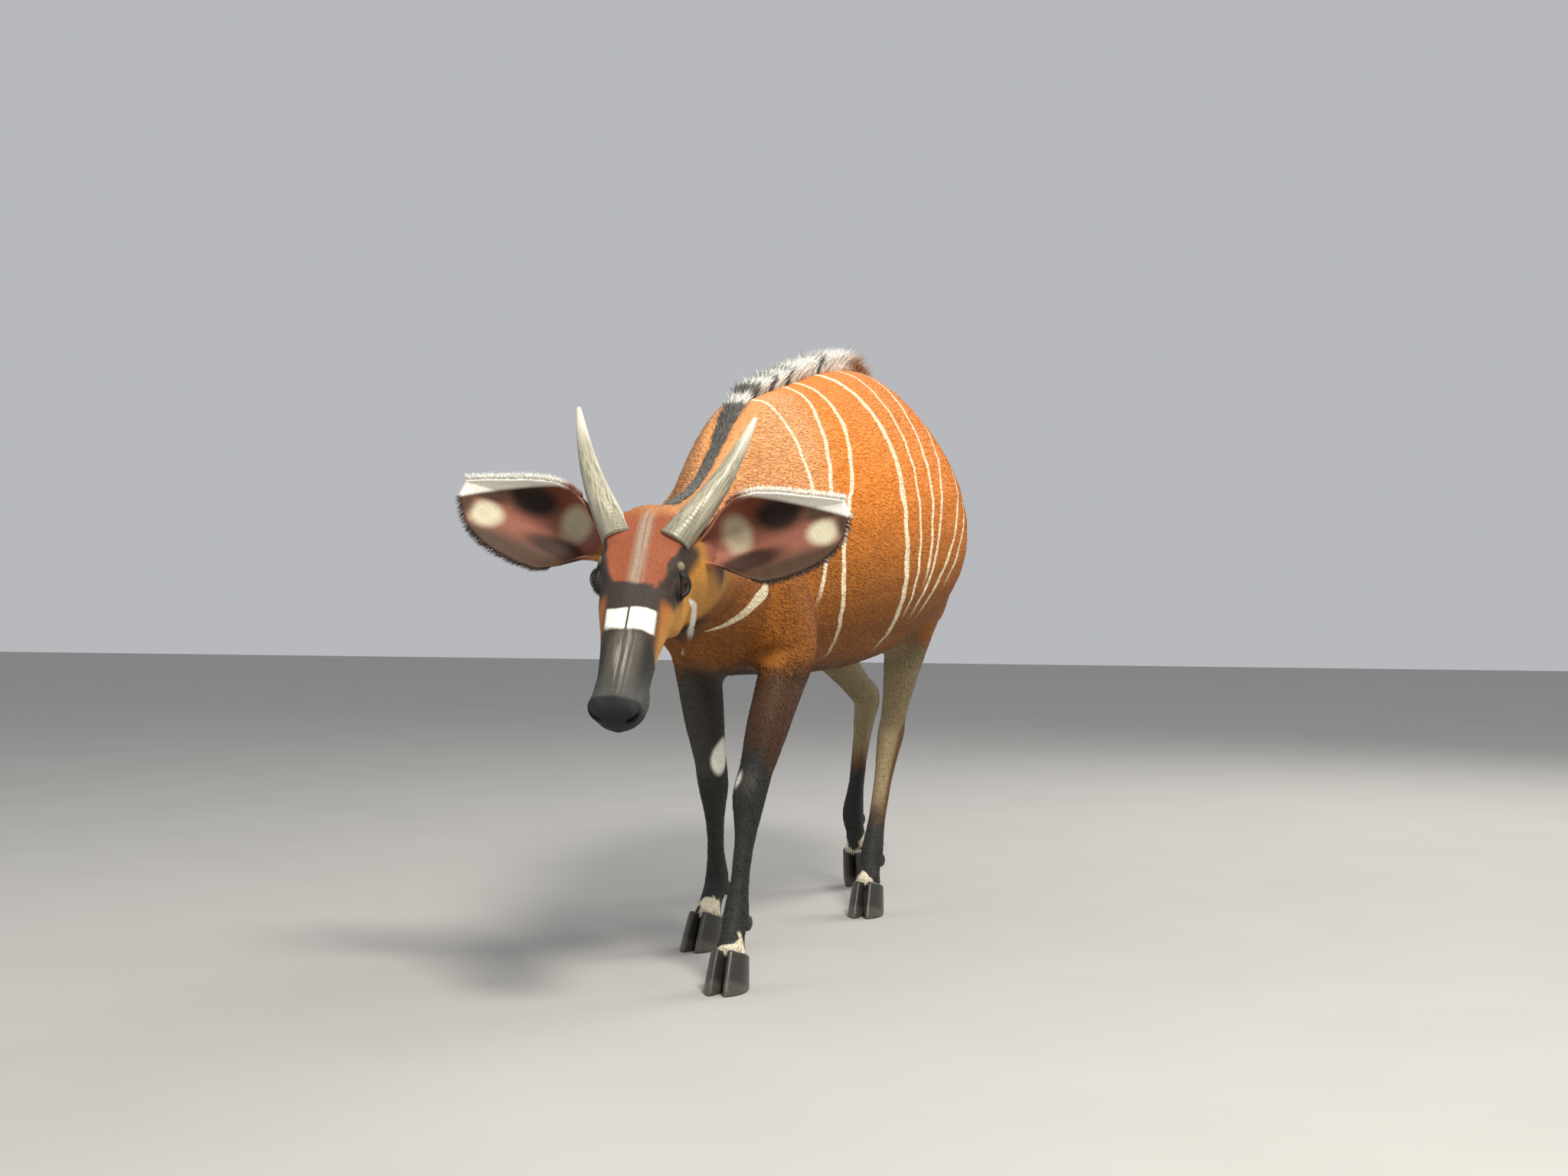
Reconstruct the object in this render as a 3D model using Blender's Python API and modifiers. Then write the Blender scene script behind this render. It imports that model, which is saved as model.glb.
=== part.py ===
"""A young bongo antelope, life size, walking slowly with its head lowered.

Units are metres, +Z is up. The animal faces -Y, its own left side is +X, and its hooves stand on Z = 0.
The flesh is lofted from sections, fused and smoothed as one body, and then parted with thin cuts into
head, neck, torso and legs. Horns, ears, eyes, tail, hooves and dewclaws are pieces of their own, fitted to
that body.
"""

import math
import random

import bmesh
import bpy
import numpy as np
from mathutils import Euler, Matrix, Vector
from mathutils.bvhtree import BVHTree

GAP, SEAT_GAP = 0.0003, 0.0005
BODY_VOXEL, BODY_TRIANGLES = 0.008, 4600
HEAD_VOXEL, HEAD_TRIANGLES = 0.0045, 1900

# The trunk and neck, from the head end to the rump: where along the animal, how far off its middle plane,
# heights of the back, the widest level and the belly, half width, how much back and belly narrow, and how
# blunt the back is (less is blunter). The neck is its first rows.
TRUNK = (
    (-0.850, 0.084, 0.744, 0.690, 0.640, 0.040, 0.15, 0.10, 1.00),
    (-0.810, 0.081, 0.762, 0.680, 0.605, 0.060, 0.20, 0.15, 1.00),
    (-0.740, 0.071, 0.778, 0.675, 0.575, 0.074, 0.30, 0.20, 1.00),
    (-0.660, 0.058, 0.794, 0.670, 0.545, 0.086, 0.38, 0.25, 0.90),
    (-0.590, 0.046, 0.816, 0.660, 0.515, 0.100, 0.42, 0.25, 0.75),
    (-0.520, 0.035, 0.846, 0.650, 0.496, 0.112, 0.45, 0.25, 0.62),
    (-0.460, 0.027, 0.886, 0.640, 0.490, 0.122, 0.46, 0.25, 0.56),
    (-0.390, 0.020, 0.938, 0.640, 0.488, 0.134, 0.46, 0.25, 0.55),
    (-0.300, 0.014, 0.975, 0.645, 0.486, 0.162, 0.44, 0.20, 0.62),
    (-0.180, 0.008, 0.998, 0.660, 0.482, 0.202, 0.36, 0.12, 0.80),
    (-0.040, 0.003, 1.026, 0.680, 0.479, 0.236, 0.26, 0.05, 0.95),
    (0.100, 0.000, 1.055, 0.700, 0.480, 0.252, 0.24, 0.02, 1.00),
    (0.240, 0.000, 1.076, 0.715, 0.494, 0.255, 0.27, 0.02, 1.00),
    (0.350, 0.000, 1.078, 0.735, 0.530, 0.242, 0.30, 0.05, 1.00),
    (0.450, 0.000, 1.058, 0.760, 0.585, 0.212, 0.33, 0.10, 1.00),
    (0.530, 0.000, 1.012, 0.780, 0.655, 0.166, 0.28, 0.10, 1.00),
    (0.590, 0.000, 0.952, 0.810, 0.725, 0.105, 0.15, 0.10, 1.00),
    (0.622, 0.000, 0.895, 0.835, 0.780, 0.050, 0.00, 0.00, 1.00),
)
NECK_ROWS = 6

# Joints of each leg, from the body down: shoulder blade or hip, shoulder or thigh, elbow or stifle, knee or
# hock, fetlock and coronet. The left legs are set forward, the right ones trail, the right hind foot on its toes.
LEGS = {
    "front_left": ((0.045, -0.365, 0.850), (0.106, -0.455, 0.690), (0.130, -0.390, 0.545),
                   (0.110, -0.528, 0.300), (0.100, -0.562, 0.112), (0.106, -0.600, 0.056)),
    "front_right": ((-0.020, -0.365, 0.850), (-0.060, -0.455, 0.690), (-0.054, -0.365, 0.550),
                    (-0.048, -0.290, 0.300), (-0.076, -0.205, 0.114), (-0.080, -0.240, 0.056)),
    "hind_left": ((0.075, 0.450, 0.900), (0.122, 0.400, 0.740), (0.137, 0.290, 0.585),
                  (0.062, 0.405, 0.350), (0.066, 0.268, 0.114), (0.070, 0.232, 0.056)),
    "hind_right": ((-0.075, 0.450, 0.900), (-0.118, 0.440, 0.740), (-0.112, 0.385, 0.580),
                   (-0.052, 0.600, 0.405), (-0.077, 0.584, 0.158), (-0.073, 0.604, 0.0812)),
}
# Half thickness across and fore and aft at stations along a leg, counted in joints, and a shift to the rear.
FRONT_GIRTHS = (
    (0.0, 0.018, 0.040, 0.000), (0.5, 0.034, 0.070, 0.000), (1.0, 0.050, 0.088, 0.010),
    (1.6, 0.052, 0.088, 0.004), (2.0, 0.046, 0.068, 0.006), (2.25, 0.041, 0.054, 0.004),
    (2.55, 0.036, 0.042, 0.000), (2.82, 0.029, 0.033, 0.000), (3.0, 0.0285, 0.033, 0.000),
    (3.15, 0.0245, 0.029, 0.003), (3.4, 0.0175, 0.022, 0.003), (3.75, 0.0170, 0.021, 0.002),
    (4.0, 0.0230, 0.028, 0.002), (4.5, 0.0205, 0.023, 0.000), (5.0, 0.0260, 0.030, 0.000),
)
HIND_GIRTHS = (
    (0.0, 0.050, 0.085, 0.000), (0.6, 0.070, 0.135, 0.000), (1.0, 0.077, 0.150, 0.000),
    (1.5, 0.071, 0.130, 0.005), (2.0, 0.056, 0.088, 0.012), (2.35, 0.043, 0.060, 0.010),
    (2.7, 0.030, 0.040, 0.006), (2.9, 0.0265, 0.036, 0.006), (3.0, 0.0280, 0.040, 0.006),
    (3.15, 0.0245, 0.033, 0.002), (3.4, 0.0190, 0.025, 0.000), (3.75, 0.0180, 0.023, 0.000),
    (4.0, 0.0240, 0.029, 0.000), (4.5, 0.0210, 0.024, 0.000), (5.0, 0.0265, 0.031, 0.000),
)
# The cut between a leg and the body is an arch over the elbow or stifle: distance to the rear of that joint
# and height, at one distance from the middle plane, and how steeply it rises outwards from there.
FRONT_CUT = (
    (-0.38, 0.36), (-0.11, 0.42), (-0.055, 0.495), (0.02, 0.515), (0.075, 0.49), (0.13, 0.42), (0.34, 0.36),
)
HIND_CUT = ((-0.30, 0.36), (-0.105, 0.466), (0.03, 0.525), (0.21, 0.600), (0.31, 0.635), (0.50, 0.60))
FRONT_CUT_SIDE, HIND_CUT_SIDE = (0.085, 0.80), (0.040, 0.35)
CUT_NEAREST, CUT_FURTHEST = 0.008, 0.400

# The head, from behind the poll to the nose, in its own frame: distance from the poll, heights of the face
# line, the widest level and the jaw line, half width, how much top and jaw narrow, and how flat the top is.
POLL = Vector((0.068, -0.832, 0.765))
HEAD_ROLL, HEAD_YAW, HEAD_PITCH = math.radians(4), math.radians(12), math.radians(57)
HEAD = (
    (-0.025, -0.030, -0.060, -0.095, 0.030, 0.0, 0.0, 1.00),
    (0.000, -0.006, -0.050, -0.125, 0.052, 0.0, 0.10, 0.90),
    (0.035, 0.004, -0.045, -0.150, 0.060, 0.0, 0.20, 0.85),
    (0.080, 0.006, -0.045, -0.158, 0.064, 0.0, 0.30, 0.80),
    (0.120, 0.004, -0.045, -0.148, 0.066, 0.0, 0.35, 0.80),
    (0.160, -0.001, -0.048, -0.130, 0.060, 0.0, 0.35, 0.80),
    (0.200, -0.004, -0.050, -0.112, 0.050, 0.0, 0.30, 0.85),
    (0.240, -0.006, -0.050, -0.100, 0.043, 0.0, 0.25, 0.90),
    (0.280, -0.007, -0.050, -0.092, 0.040, 0.0, 0.20, 0.90),
    (0.312, -0.008, -0.046, -0.088, 0.042, 0.0, 0.20, 0.85),
    (0.336, -0.012, -0.044, -0.082, 0.039, 0.0, 0.15, 0.85),
    (0.350, -0.021, -0.044, -0.072, 0.029, 0.0, 0.10, 0.90),
    (0.356, -0.033, -0.046, -0.060, 0.013, 0.0, 0.0, 1.00),
)
# Swellings of the head: distance from the poll, off the middle and height of the centre, and three radii.
SWELLINGS = (
    ("brow", (0.110, 0.045, -0.020), (0.026, 0.046, 0.022)),
    ("cheek", (0.105, 0.038, -0.100), (0.028, 0.065, 0.048)),
    ("horn_seat", (0.046, 0.040, -0.014), (0.028, 0.040, 0.020)),
    ("ear_seat", (0.036, 0.046, -0.072), (0.026, 0.030, 0.032)),
    ("nostril_wing", (0.332, 0.027, -0.028), (0.015, 0.022, 0.017)),
    ("upper_lip", (0.306, 0.024, -0.062), (0.019, 0.036, 0.016)),
    ("chin", (0.316, 0.008, -0.082), (0.020, 0.026, 0.011)),
)
EYE = (0.118, 0.056, -0.033)
EYE_RADIUS = 0.021
EYE_AXIS = Vector((0.82, -0.40, 0.36)).normalized()
EYE_OPENING = (0.0180, 0.0125)
LID = 0.0034
NOSTRIL = (0.344, 0.026, -0.031)
NOSTRIL_RADII, NOSTRIL_LIE = (0.0075, 0.0150, 0.0085), (math.radians(35), math.radians(38))
# The line of the mouth goes round the lips for the first part of its half, and then straight to the corner.
MOUTH_CENTRE, MOUTH_CORNER, MOUTH_LEVEL = 0.318, 0.232, -0.070
MOUTH_ROUND, MOUTH_POINTS, MOUTH_GROOVE = 0.55, 19, 0.0026

# Where the body is parted: a point of each cut and the direction it faces, towards the head.
HEAD_CUT = (Vector((0.08, -0.735, 0.71)), Vector((-0.08, -0.90, -0.43)).normalized())
NECK_CUT = (Vector((0.04, -0.570, 0.66)), Vector((0.0, -0.946, 0.324)).normalized())

# Ears: share of the length, half widths above and below the axis, and half the turn that the cup makes.
EAR = (
    (0.00, 0.022, 0.024, 150), (0.10, 0.026, 0.028, 142), (0.19, 0.033, 0.036, 125), (0.30, 0.051, 0.058, 98),
    (0.40, 0.063, 0.074, 78), (0.52, 0.061, 0.078, 66), (0.65, 0.049, 0.077, 58), (0.76, 0.035, 0.072, 53),
    (0.87, 0.022, 0.060, 48), (0.94, 0.013, 0.042, 44), (1.00, 0.005, 0.018, 40),
)
EAR_ROOT = (0.040, 0.048, -0.076)
EAR_AXES = {1: Vector((0.92, 0.36, 0.15)).normalized(), -1: Vector((0.96, 0.30, 0.23)).normalized()}
EAR_OPENING = Vector((0.12, -0.62, 0.78)).normalized()
EAR_LENGTH, EAR_WALL, EAR_RIM = 0.262, 0.0045, 0.028
# A plug closes the cup's stem: how far along the ear it is, how far into the cup, and its radius.
EAR_PLUG = (0.034, 0.006, 0.021)

HORN_ROOT = (0.045, 0.046, -0.016)
HORN_AXIS = Vector((0.40, 0.90, 0.12)).normalized()
HORN_LENGTH, HORN_RADIUS, HORN_TIP, HORN_POINT = 0.228, 0.0275, 0.0035, 0.004
HORN_BOW, HORN_KEEL = 0.010, 0.13

# The tail's middle line, from inside the rump to the end of the flesh, with its half thickness.
TAIL = (
    (0.000, 0.570, 0.935, 0.026), (0.000, 0.618, 0.925, 0.024), (0.000, 0.648, 0.880, 0.020),
    (0.002, 0.658, 0.810, 0.0165), (0.006, 0.655, 0.730, 0.014), (0.012, 0.652, 0.650, 0.012),
    (0.018, 0.655, 0.600, 0.012),
)
# The tuft's rows: height and number of locks. Their roots follow the tail across from one height to another.
TUFT_ROWS, TUFT_REAR = ((0.645, 3), (0.622, 3), (0.604, 4)), 0.654
TUFT_HEIGHTS, TUFT_ACROSS = (0.600, 0.650), (0.018, 0.012)
TUFT_LENGTH, TUFT_WIDTH, TUFT_THICKNESS = (0.11, 0.15), 0.026, 0.011

# The crest of stiff hair, from neck to loin: where along the animal, how long the locks are, how far they lean
# to the rear and how wide they are.
CREST = (
    (-0.775, 0.026, 0.55, 0.034), (-0.600, 0.036, 0.50, 0.036), (-0.500, 0.040, 0.42, 0.038),
    (-0.380, 0.054, 0.36, 0.042), (-0.100, 0.068, 0.33, 0.046), (0.150, 0.074, 0.35, 0.048),
    (0.320, 0.060, 0.42, 0.046), (0.450, 0.022, 0.60, 0.040),
)
CREST_STEP, CREST_THICKNESS = 0.56, (0.012, 0.017)
LOCK_SUNK = 0.010
# Where a lock has its rings, as shares of its length.
LOCK_RINGS = (0.0, 0.35, 0.7)

# Hooves: coronet slope and height, the pitch of a lifted foot, and the yaw of each foot.
CORONET_SLOPE, HOOF_HEIGHT = 0.38, 0.056
HOOF_PITCH = {"hind_right": math.radians(36)}
HOOF_YAW = {"front_left": 0.05, "front_right": -0.10, "hind_left": 0.08, "hind_right": -0.05}
# A claw's half length, width and distance ahead of the coronet's middle, at the sole and at the top.
CLAW_SOLE, CLAW_TOP = (0.045, 0.0325, 0.024), (0.031, 0.028, 0.003)
CLAW_LEVELS, CLAW_BEVEL, CLAW_CLEFT, CLAW_SIDES = (0.0, 0.06, 0.5, 1.0), 0.0015, 0.0012, 14
DEWCLAW_PLACE, DEWCLAW_RADII = (0.0120, 0.022, -0.014), (0.0085, 0.010, 0.014)
# How far a dewclaw is moved out of its seat, in gaps.
DEWCLAW_MOVE = (0.3, 1.0, -0.2)

COLOURS = {
    "head": (0.42, 0.17, 0.06), "neck": (0.47, 0.19, 0.06), "torso": (0.55, 0.22, 0.06),
    "tail": (0.30, 0.13, 0.06), "leg": (0.20, 0.11, 0.07), "hoof": (0.02, 0.02, 0.02),
    "dewclaw": (0.03, 0.03, 0.03), "ear": (0.55, 0.42, 0.35), "horn": (0.36, 0.33, 0.28),
    "eye": (0.02, 0.012, 0.008),
}
SHINE = {"eye": 0.15, "hoof": 0.35}


def clear_scene():
    """Removes what the scene holds, so that only the animal is in it."""
    for found in list(bpy.data.objects):
        bpy.data.objects.remove(found)


def smooth_rows(rows, steps):
    """The rows of a table with steps rows for each of its own, along a smooth curve through them."""
    table = np.array(rows, float)
    padded = np.vstack([2 * table[0] - table[1], table, 2 * table[-1] - table[-2]])
    found = []
    for i in range(len(table) - 1):
        before, start, end, after = padded[i:i + 4]
        for k in range(steps):
            t = k / steps
            found.append(
                0.5 * (2 * start + (end - before) * t + (2 * before - 5 * start + 4 * end - after) * t * t
                       + (3 * start - before - 3 * end + after) * t ** 3)
            )
    return np.array(found + [table[-1]])


def add_mesh(name, shape):
    """A new object from a bmesh, in the scene's own collection."""
    mesh = bpy.data.meshes.new(name)
    shape.to_mesh(mesh)
    shape.free()
    made = bpy.data.objects.new(name, mesh)
    bpy.context.scene.collection.objects.link(made)
    return made


def loft(name, rings, tip=None):
    """A closed skin over rings of points that all have the same count, flat at its ends or drawn to a tip."""
    shape = bmesh.new()
    loops = [[shape.verts.new(point) for point in ring] for ring in rings]
    for one, two in zip(loops, loops[1:]):
        for i in range(len(one)):
            j = (i + 1) % len(one)
            shape.faces.new((one[i], one[j], two[j], two[i]))
    ends = [shape.faces.new(loops[0][::-1])]
    if tip is None:
        ends.append(shape.faces.new(loops[-1]))
    else:
        end = shape.verts.new(tip)
        for i in range(len(loops[-1])):
            shape.faces.new((loops[-1][i], loops[-1][(i + 1) % len(loops[-1])], end))
    bmesh.ops.triangulate(shape, faces=[face for face in ends if len(face.verts) > 4])
    bmesh.ops.recalc_face_normals(shape, faces=shape.faces)
    return add_mesh(name, shape)


def ball(name, centre, radii, segments=20, rings=12):
    """An ellipsoid."""
    shape = bmesh.new()
    bmesh.ops.create_uvsphere(shape, u_segments=segments, v_segments=rings, radius=1.0)
    bmesh.ops.scale(shape, vec=Vector(radii), verts=shape.verts)
    bmesh.ops.translate(shape, vec=Vector(centre), verts=shape.verts)
    return add_mesh(name, shape)


def tube(name, points, radii, sides=10):
    """A round bar along points, with a radius at each."""
    rings = []
    across = (points[1] - points[0]).orthogonal().normalized()
    for i, point in enumerate(points):
        along = (points[min(i + 1, len(points) - 1)] - points[max(i - 1, 0)]).normalized()
        across = (across - along * along.dot(across)).normalized()
        other = along.cross(across)
        rings.append([
            point + (across * math.cos(turn) + other * math.sin(turn)) * radii[i]
            for turn in np.linspace(0, 2 * math.pi, sides, endpoint=False)
        ])
    return loft(name, rings)


def half_space(point, facing, size=0.4):
    """A block that fills all on the side of a plane that it faces, as far as size."""
    shape = bmesh.new()
    bmesh.ops.create_cube(shape, size=2 * size)
    bmesh.ops.translate(shape, vec=Vector((0, 0, size)), verts=shape.verts)
    turn = facing.to_track_quat("Z", "X").to_matrix().to_4x4()
    shape.transform(Matrix.Translation(point) @ turn)
    return add_mesh("half_space", shape)


def section(half_width, up, down, narrow_up, narrow_down, bluntness, sides=32):
    """Points round an upright section, about its widest level: across, and up."""
    points = []
    for i in range(sides):
        turn = 2 * math.pi * (i + 0.5) / sides
        rise, side = math.cos(turn), math.sin(turn)
        narrow = narrow_up if rise > 0 else narrow_down
        power = bluntness if rise > 0 else 1.0
        across = half_width * math.copysign(abs(side) ** power, side) * (1 - narrow * rise * rise)
        points.append((across, (up if rise > 0 else down) * rise))
    return points


def trunk(rows):
    """The trunk and neck, or a part of them."""
    rings = []
    for y, x, top, widest, bottom, half, narrow_up, narrow_down, bluntness in smooth_rows(rows, 4):
        outline = section(half, top - widest, widest - bottom, narrow_up, narrow_down, bluntness)
        rings.append([Vector((x + across, y, widest + rise)) for across, rise in outline])
    return loft("trunk", rings)


def leg_flesh(name):
    """One leg, from inside the body to a little past the coronet."""
    joints = LEGS[name]
    rows = []
    for place, across, deep, back in FRONT_GIRTHS if name.startswith("front") else HIND_GIRTHS:
        first = min(int(place), len(joints) - 2)
        point = Vector(joints[first]).lerp(Vector(joints[first + 1]), place - first)
        rows.append((point.x, point.y + back, point.z, across, deep))
    ahead = (Vector(joints[-1]) - Vector(joints[-2])).normalized()
    rows.append((*(Vector(joints[-1]) + ahead * 0.03), *rows[-1][3:]))
    rows = smooth_rows(rows, 4)
    rings = []
    for i, (x, y, z, across, deep) in enumerate(rows):
        along = Vector(rows[min(i + 1, len(rows) - 1)][:3]) - Vector(rows[max(i - 1, 0)][:3])
        along.normalize()
        side = (Vector((1, 0, 0)) - along * along.x).normalized()
        fore = side.cross(along)
        rings.append([
            Vector((x, y, z)) + side * (across * math.sin(turn)) + fore * (deep * math.cos(turn))
            for turn in np.linspace(0, 2 * math.pi, 20, endpoint=False)
        ])
    return loft(name, rings)


def in_head(place, side=1):
    """The point of the world at a place of the head: distance from the poll, off the middle, height."""
    distance, across, height = place
    return HEAD_FRAME @ Vector((side * across, -distance, height))


def head_direction(direction, side=1):
    """A direction of the head's frame in the world, mirrored for the right side."""
    return HEAD_FRAME.to_3x3() @ Vector((side * direction.x, direction.y, direction.z))


def skull():
    """The head's bulk and its swellings."""
    rings = []
    for s, top, widest, bottom, half, narrow_up, narrow_down, bluntness in smooth_rows(HEAD, 3):
        outline = section(half, top - widest, widest - bottom, narrow_up, narrow_down, bluntness)
        rings.append([in_head((s, across, widest + rise)) for across, rise in outline])
    made = [loft("skull", rings)]
    for name, (s, across, height), radii in SWELLINGS:
        for side in (1, -1):
            swelling = ball(name, (side * across, -s, height), radii)
            swelling.data.transform(HEAD_FRAME)
            made.append(swelling)
    return made


def fused(name, pieces, voxel, rounds, triangles):
    """The pieces as one closed, smoothed body of about that many triangles."""
    shape = bmesh.new()
    for piece in pieces:
        shape.from_mesh(piece.data)
    whole = add_mesh(name, shape)
    remesh = whole.modifiers.new("fuse", "REMESH")
    remesh.mode = "VOXEL"
    remesh.voxel_size = voxel
    apply_modifiers(whole)
    even_out(whole.data, rounds)
    thin = whole.modifiers.new("thin", "DECIMATE")
    thin.ratio = triangles / (2 * len(whole.data.polygons))
    apply_modifiers(whole)
    return whole


def even_out(mesh, rounds):
    """Smooths a mesh without shrinking it: each pass in is followed by a slightly longer pass out."""
    points = np.empty(len(mesh.vertices) * 3)
    mesh.vertices.foreach_get("co", points)
    points = points.reshape(-1, 3)
    ends = np.empty(len(mesh.edges) * 2, int)
    mesh.edges.foreach_get("vertices", ends)
    one, two = ends.reshape(-1, 2).T
    count = np.bincount(ends, minlength=len(points))[:, None]
    for _ in range(rounds):
        for factor in (0.55, -0.57):
            around = np.stack([
                np.bincount(one, points[two, k], len(points)) + np.bincount(two, points[one, k], len(points))
                for k in range(3)
            ], axis=1) / count
            points += factor * (around - points)
    mesh.vertices.foreach_set("co", points.ravel())
    mesh.update()


def apply_modifiers(piece):
    """Replaces a piece's mesh by what its modifiers make of it."""
    graph = bpy.context.evaluated_depsgraph_get()
    made = bpy.data.meshes.new_from_object(piece.evaluated_get(graph))
    piece.modifiers.clear()
    piece.data = made


def combine(piece, operation, *others):
    """Unites, cuts or crops a piece with others in turn, and keeps the largest closed surface."""
    for other in others:
        change = piece.modifiers.new("fit", "BOOLEAN")
        change.operation = operation
        change.solver = "MANIFOLD"
        change.object = other
        apply_modifiers(piece)
        bpy.data.objects.remove(other)
    keep_largest(piece)
    return piece


def unite_all(piece, others):
    """Joins many small pieces to one with a single union, and removes them."""
    group = bpy.data.collections.new("locks")
    bpy.context.scene.collection.children.link(group)
    for other in others:
        bpy.context.scene.collection.objects.unlink(other)
        group.objects.link(other)
    change = piece.modifiers.new("locks", "BOOLEAN")
    change.operation = "UNION"
    change.operand_type = "COLLECTION"
    change.collection = group
    change.solver = "MANIFOLD"
    apply_modifiers(piece)
    for other in others:
        bpy.data.objects.remove(other)
    bpy.data.collections.remove(group)
    keep_largest(piece)


def keep_largest(piece):
    """Leaves only the connected surface with the most points."""
    shape = bmesh.new()
    shape.from_mesh(piece.data)
    unseen = set(shape.verts)
    islands = []
    while unseen:
        island = [unseen.pop()]
        for vert in island:
            for edge in vert.link_edges:
                other = edge.other_vert(vert)
                if other in unseen:
                    unseen.discard(other)
                    island.append(other)
        islands.append(island)
    islands.sort(key=len)
    bmesh.ops.delete(shape, geom=[vert for island in islands[:-1] for vert in island], context="VERTS")
    shape.to_mesh(piece.data)
    shape.free()


def copy_of(piece, name="copy"):
    """A second object with the same mesh."""
    made = bpy.data.objects.new(name, piece.data.copy())
    bpy.context.scene.collection.objects.link(made)
    return made


def shifted(piece, way):
    """A copy of a piece moved a little in a direction, to trim what stands out that way with a fine gap."""
    made = copy_of(piece)
    made.data.transform(Matrix.Translation(way.normalized() * SEAT_GAP))
    return made


def leg_block(name, gap=0.0):
    """The space below the arched cut between one leg and the body, raised by a gap."""
    hand = 1 if name.endswith("left") else -1
    arch, (at, rise) = (FRONT_CUT, FRONT_CUT_SIDE) if name.startswith("front") else (HIND_CUT, HIND_CUT_SIDE)
    joint = LEGS[name][2][1]
    rings = []
    for x in (CUT_NEAREST, CUT_FURTHEST):
        profile = [Vector((hand * x, joint + y, z + rise * (x - at) + 1.6 * gap)) for y, z in arch]
        floor = [Vector((hand * x, joint + arch[end][0], -0.05)) for end in (-1, 0)]
        rings.append(profile + floor)
    return loft("leg_block", rings)


def foot_frame(name):
    """Where a hoof is: its origin at the coronet, forward as its -Y and down as its -Z."""
    turn = Euler((0, 0, HOOF_YAW[name])).to_matrix() @ Euler((HOOF_PITCH.get(name, 0.0), 0, 0)).to_matrix()
    return Matrix.Translation(LEGS[name][-1]) @ turn.to_4x4()


def claw(name, foot, side):
    """One half of a cloven hoof: flat sole, flat inner wall, toe ahead, top on the slope of the coronet."""
    rings = []
    for level in CLAW_LEVELS:
        half_length, width, ahead = (sole + (top - sole) * level for sole, top in zip(CLAW_SOLE, CLAW_TOP))
        inset = CLAW_BEVEL if level == 0 else 0.0
        ring = []
        for i in range(CLAW_SIDES):
            turn = 2 * math.pi * (i + 0.5) / CLAW_SIDES
            along, across = math.cos(turn), math.sin(turn)
            toe = 1 - 0.30 * max(along, 0) ** 2
            share = 0.5 + 0.52 * across * toe - 0.14 * max(along, 0) ** 2
            x = side * (CLAW_CLEFT + inset + (width - 2 * inset) * max(share, 0.03))
            y = -(ahead + (half_length - inset) * along)
            top = -1.3 * GAP - CORONET_SLOPE * y
            ring.append(Vector((x, y, -HOOF_HEIGHT + (top + HOOF_HEIGHT) * level)))
        rings.append(ring)
    made = loft(name, rings)
    made.data.transform(foot_frame(foot))
    if foot in HOOF_PITCH:
        below = half_space(Vector(LEGS[foot][-1]) * Vector((1, 1, 0)), Vector((0, 0, -1)), 0.2)
        combine(made, "DIFFERENCE", below)
    return made


def ear(name, side):
    """A broad leaf-shaped cup on a short stem."""
    root, axis = in_head(EAR_ROOT, side), head_direction(EAR_AXES[side], side)
    opening = head_direction(EAR_OPENING, side)
    opening = (opening - axis * axis.dot(opening)).normalized()
    upward = opening.cross(axis) * side
    rings = []
    for share, above, below, turn in EAR:
        half_turn = math.radians(turn)
        widest = math.sin(min(half_turn, math.pi / 2))
        rim_depth = 0.5 * (above + below) * (1 - math.cos(half_turn)) / widest
        outer, inner = [], []
        for k in range(9):
            angle = half_turn * (k / 4 - 1)
            radius = (above if angle > 0 else below) / widest
            wall = min(EAR_WALL, 0.35 * radius) * (1 - 0.55 * (abs(angle) / half_turn) ** 3)
            for points, r in ((outer, radius), (inner, radius - wall)):
                deep = EAR_RIM - rim_depth + radius - r * math.cos(angle)
                middle = root + axis * (share * EAR_LENGTH)
                points.append(middle + upward * (r * math.sin(angle)) + opening * deep)
        rings.append(outer + inner[::-1])
    made = loft(name, rings)
    plug = ball("plug", root + axis * EAR_PLUG[0] + opening * EAR_PLUG[1], (EAR_PLUG[2],) * 3, 12, 8)
    return combine(made, "UNION", plug)


def horn(name, side):
    """A smooth tapered horn with a slight keel in front."""
    root, axis = in_head(HORN_ROOT, side), head_direction(HORN_AXIS, side)
    outward = head_direction(Vector((1, 0, 0)), side)
    outward = (outward - axis * axis.dot(outward)).normalized()
    front = axis.cross(outward) * side
    rings = []
    for k in range(7):
        t = k / 6
        radius = HORN_RADIUS * (1 - t) ** 0.85 + HORN_TIP * t
        centre = root + axis * (HORN_LENGTH * t) + outward * (HORN_BOW * math.sin(math.pi * t))
        ring = []
        for turn in np.linspace(0, 2 * math.pi, 10, endpoint=False):
            keel = 1 + HORN_KEEL * (1 - t) * max(math.cos(turn), 0) ** 3
            way = front * math.cos(turn) + outward * (0.93 * math.sin(turn))
            ring.append(centre + way * radius * keel)
        rings.append(ring)
    return loft(name, rings, root + axis * (HORN_LENGTH + HORN_POINT))


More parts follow.
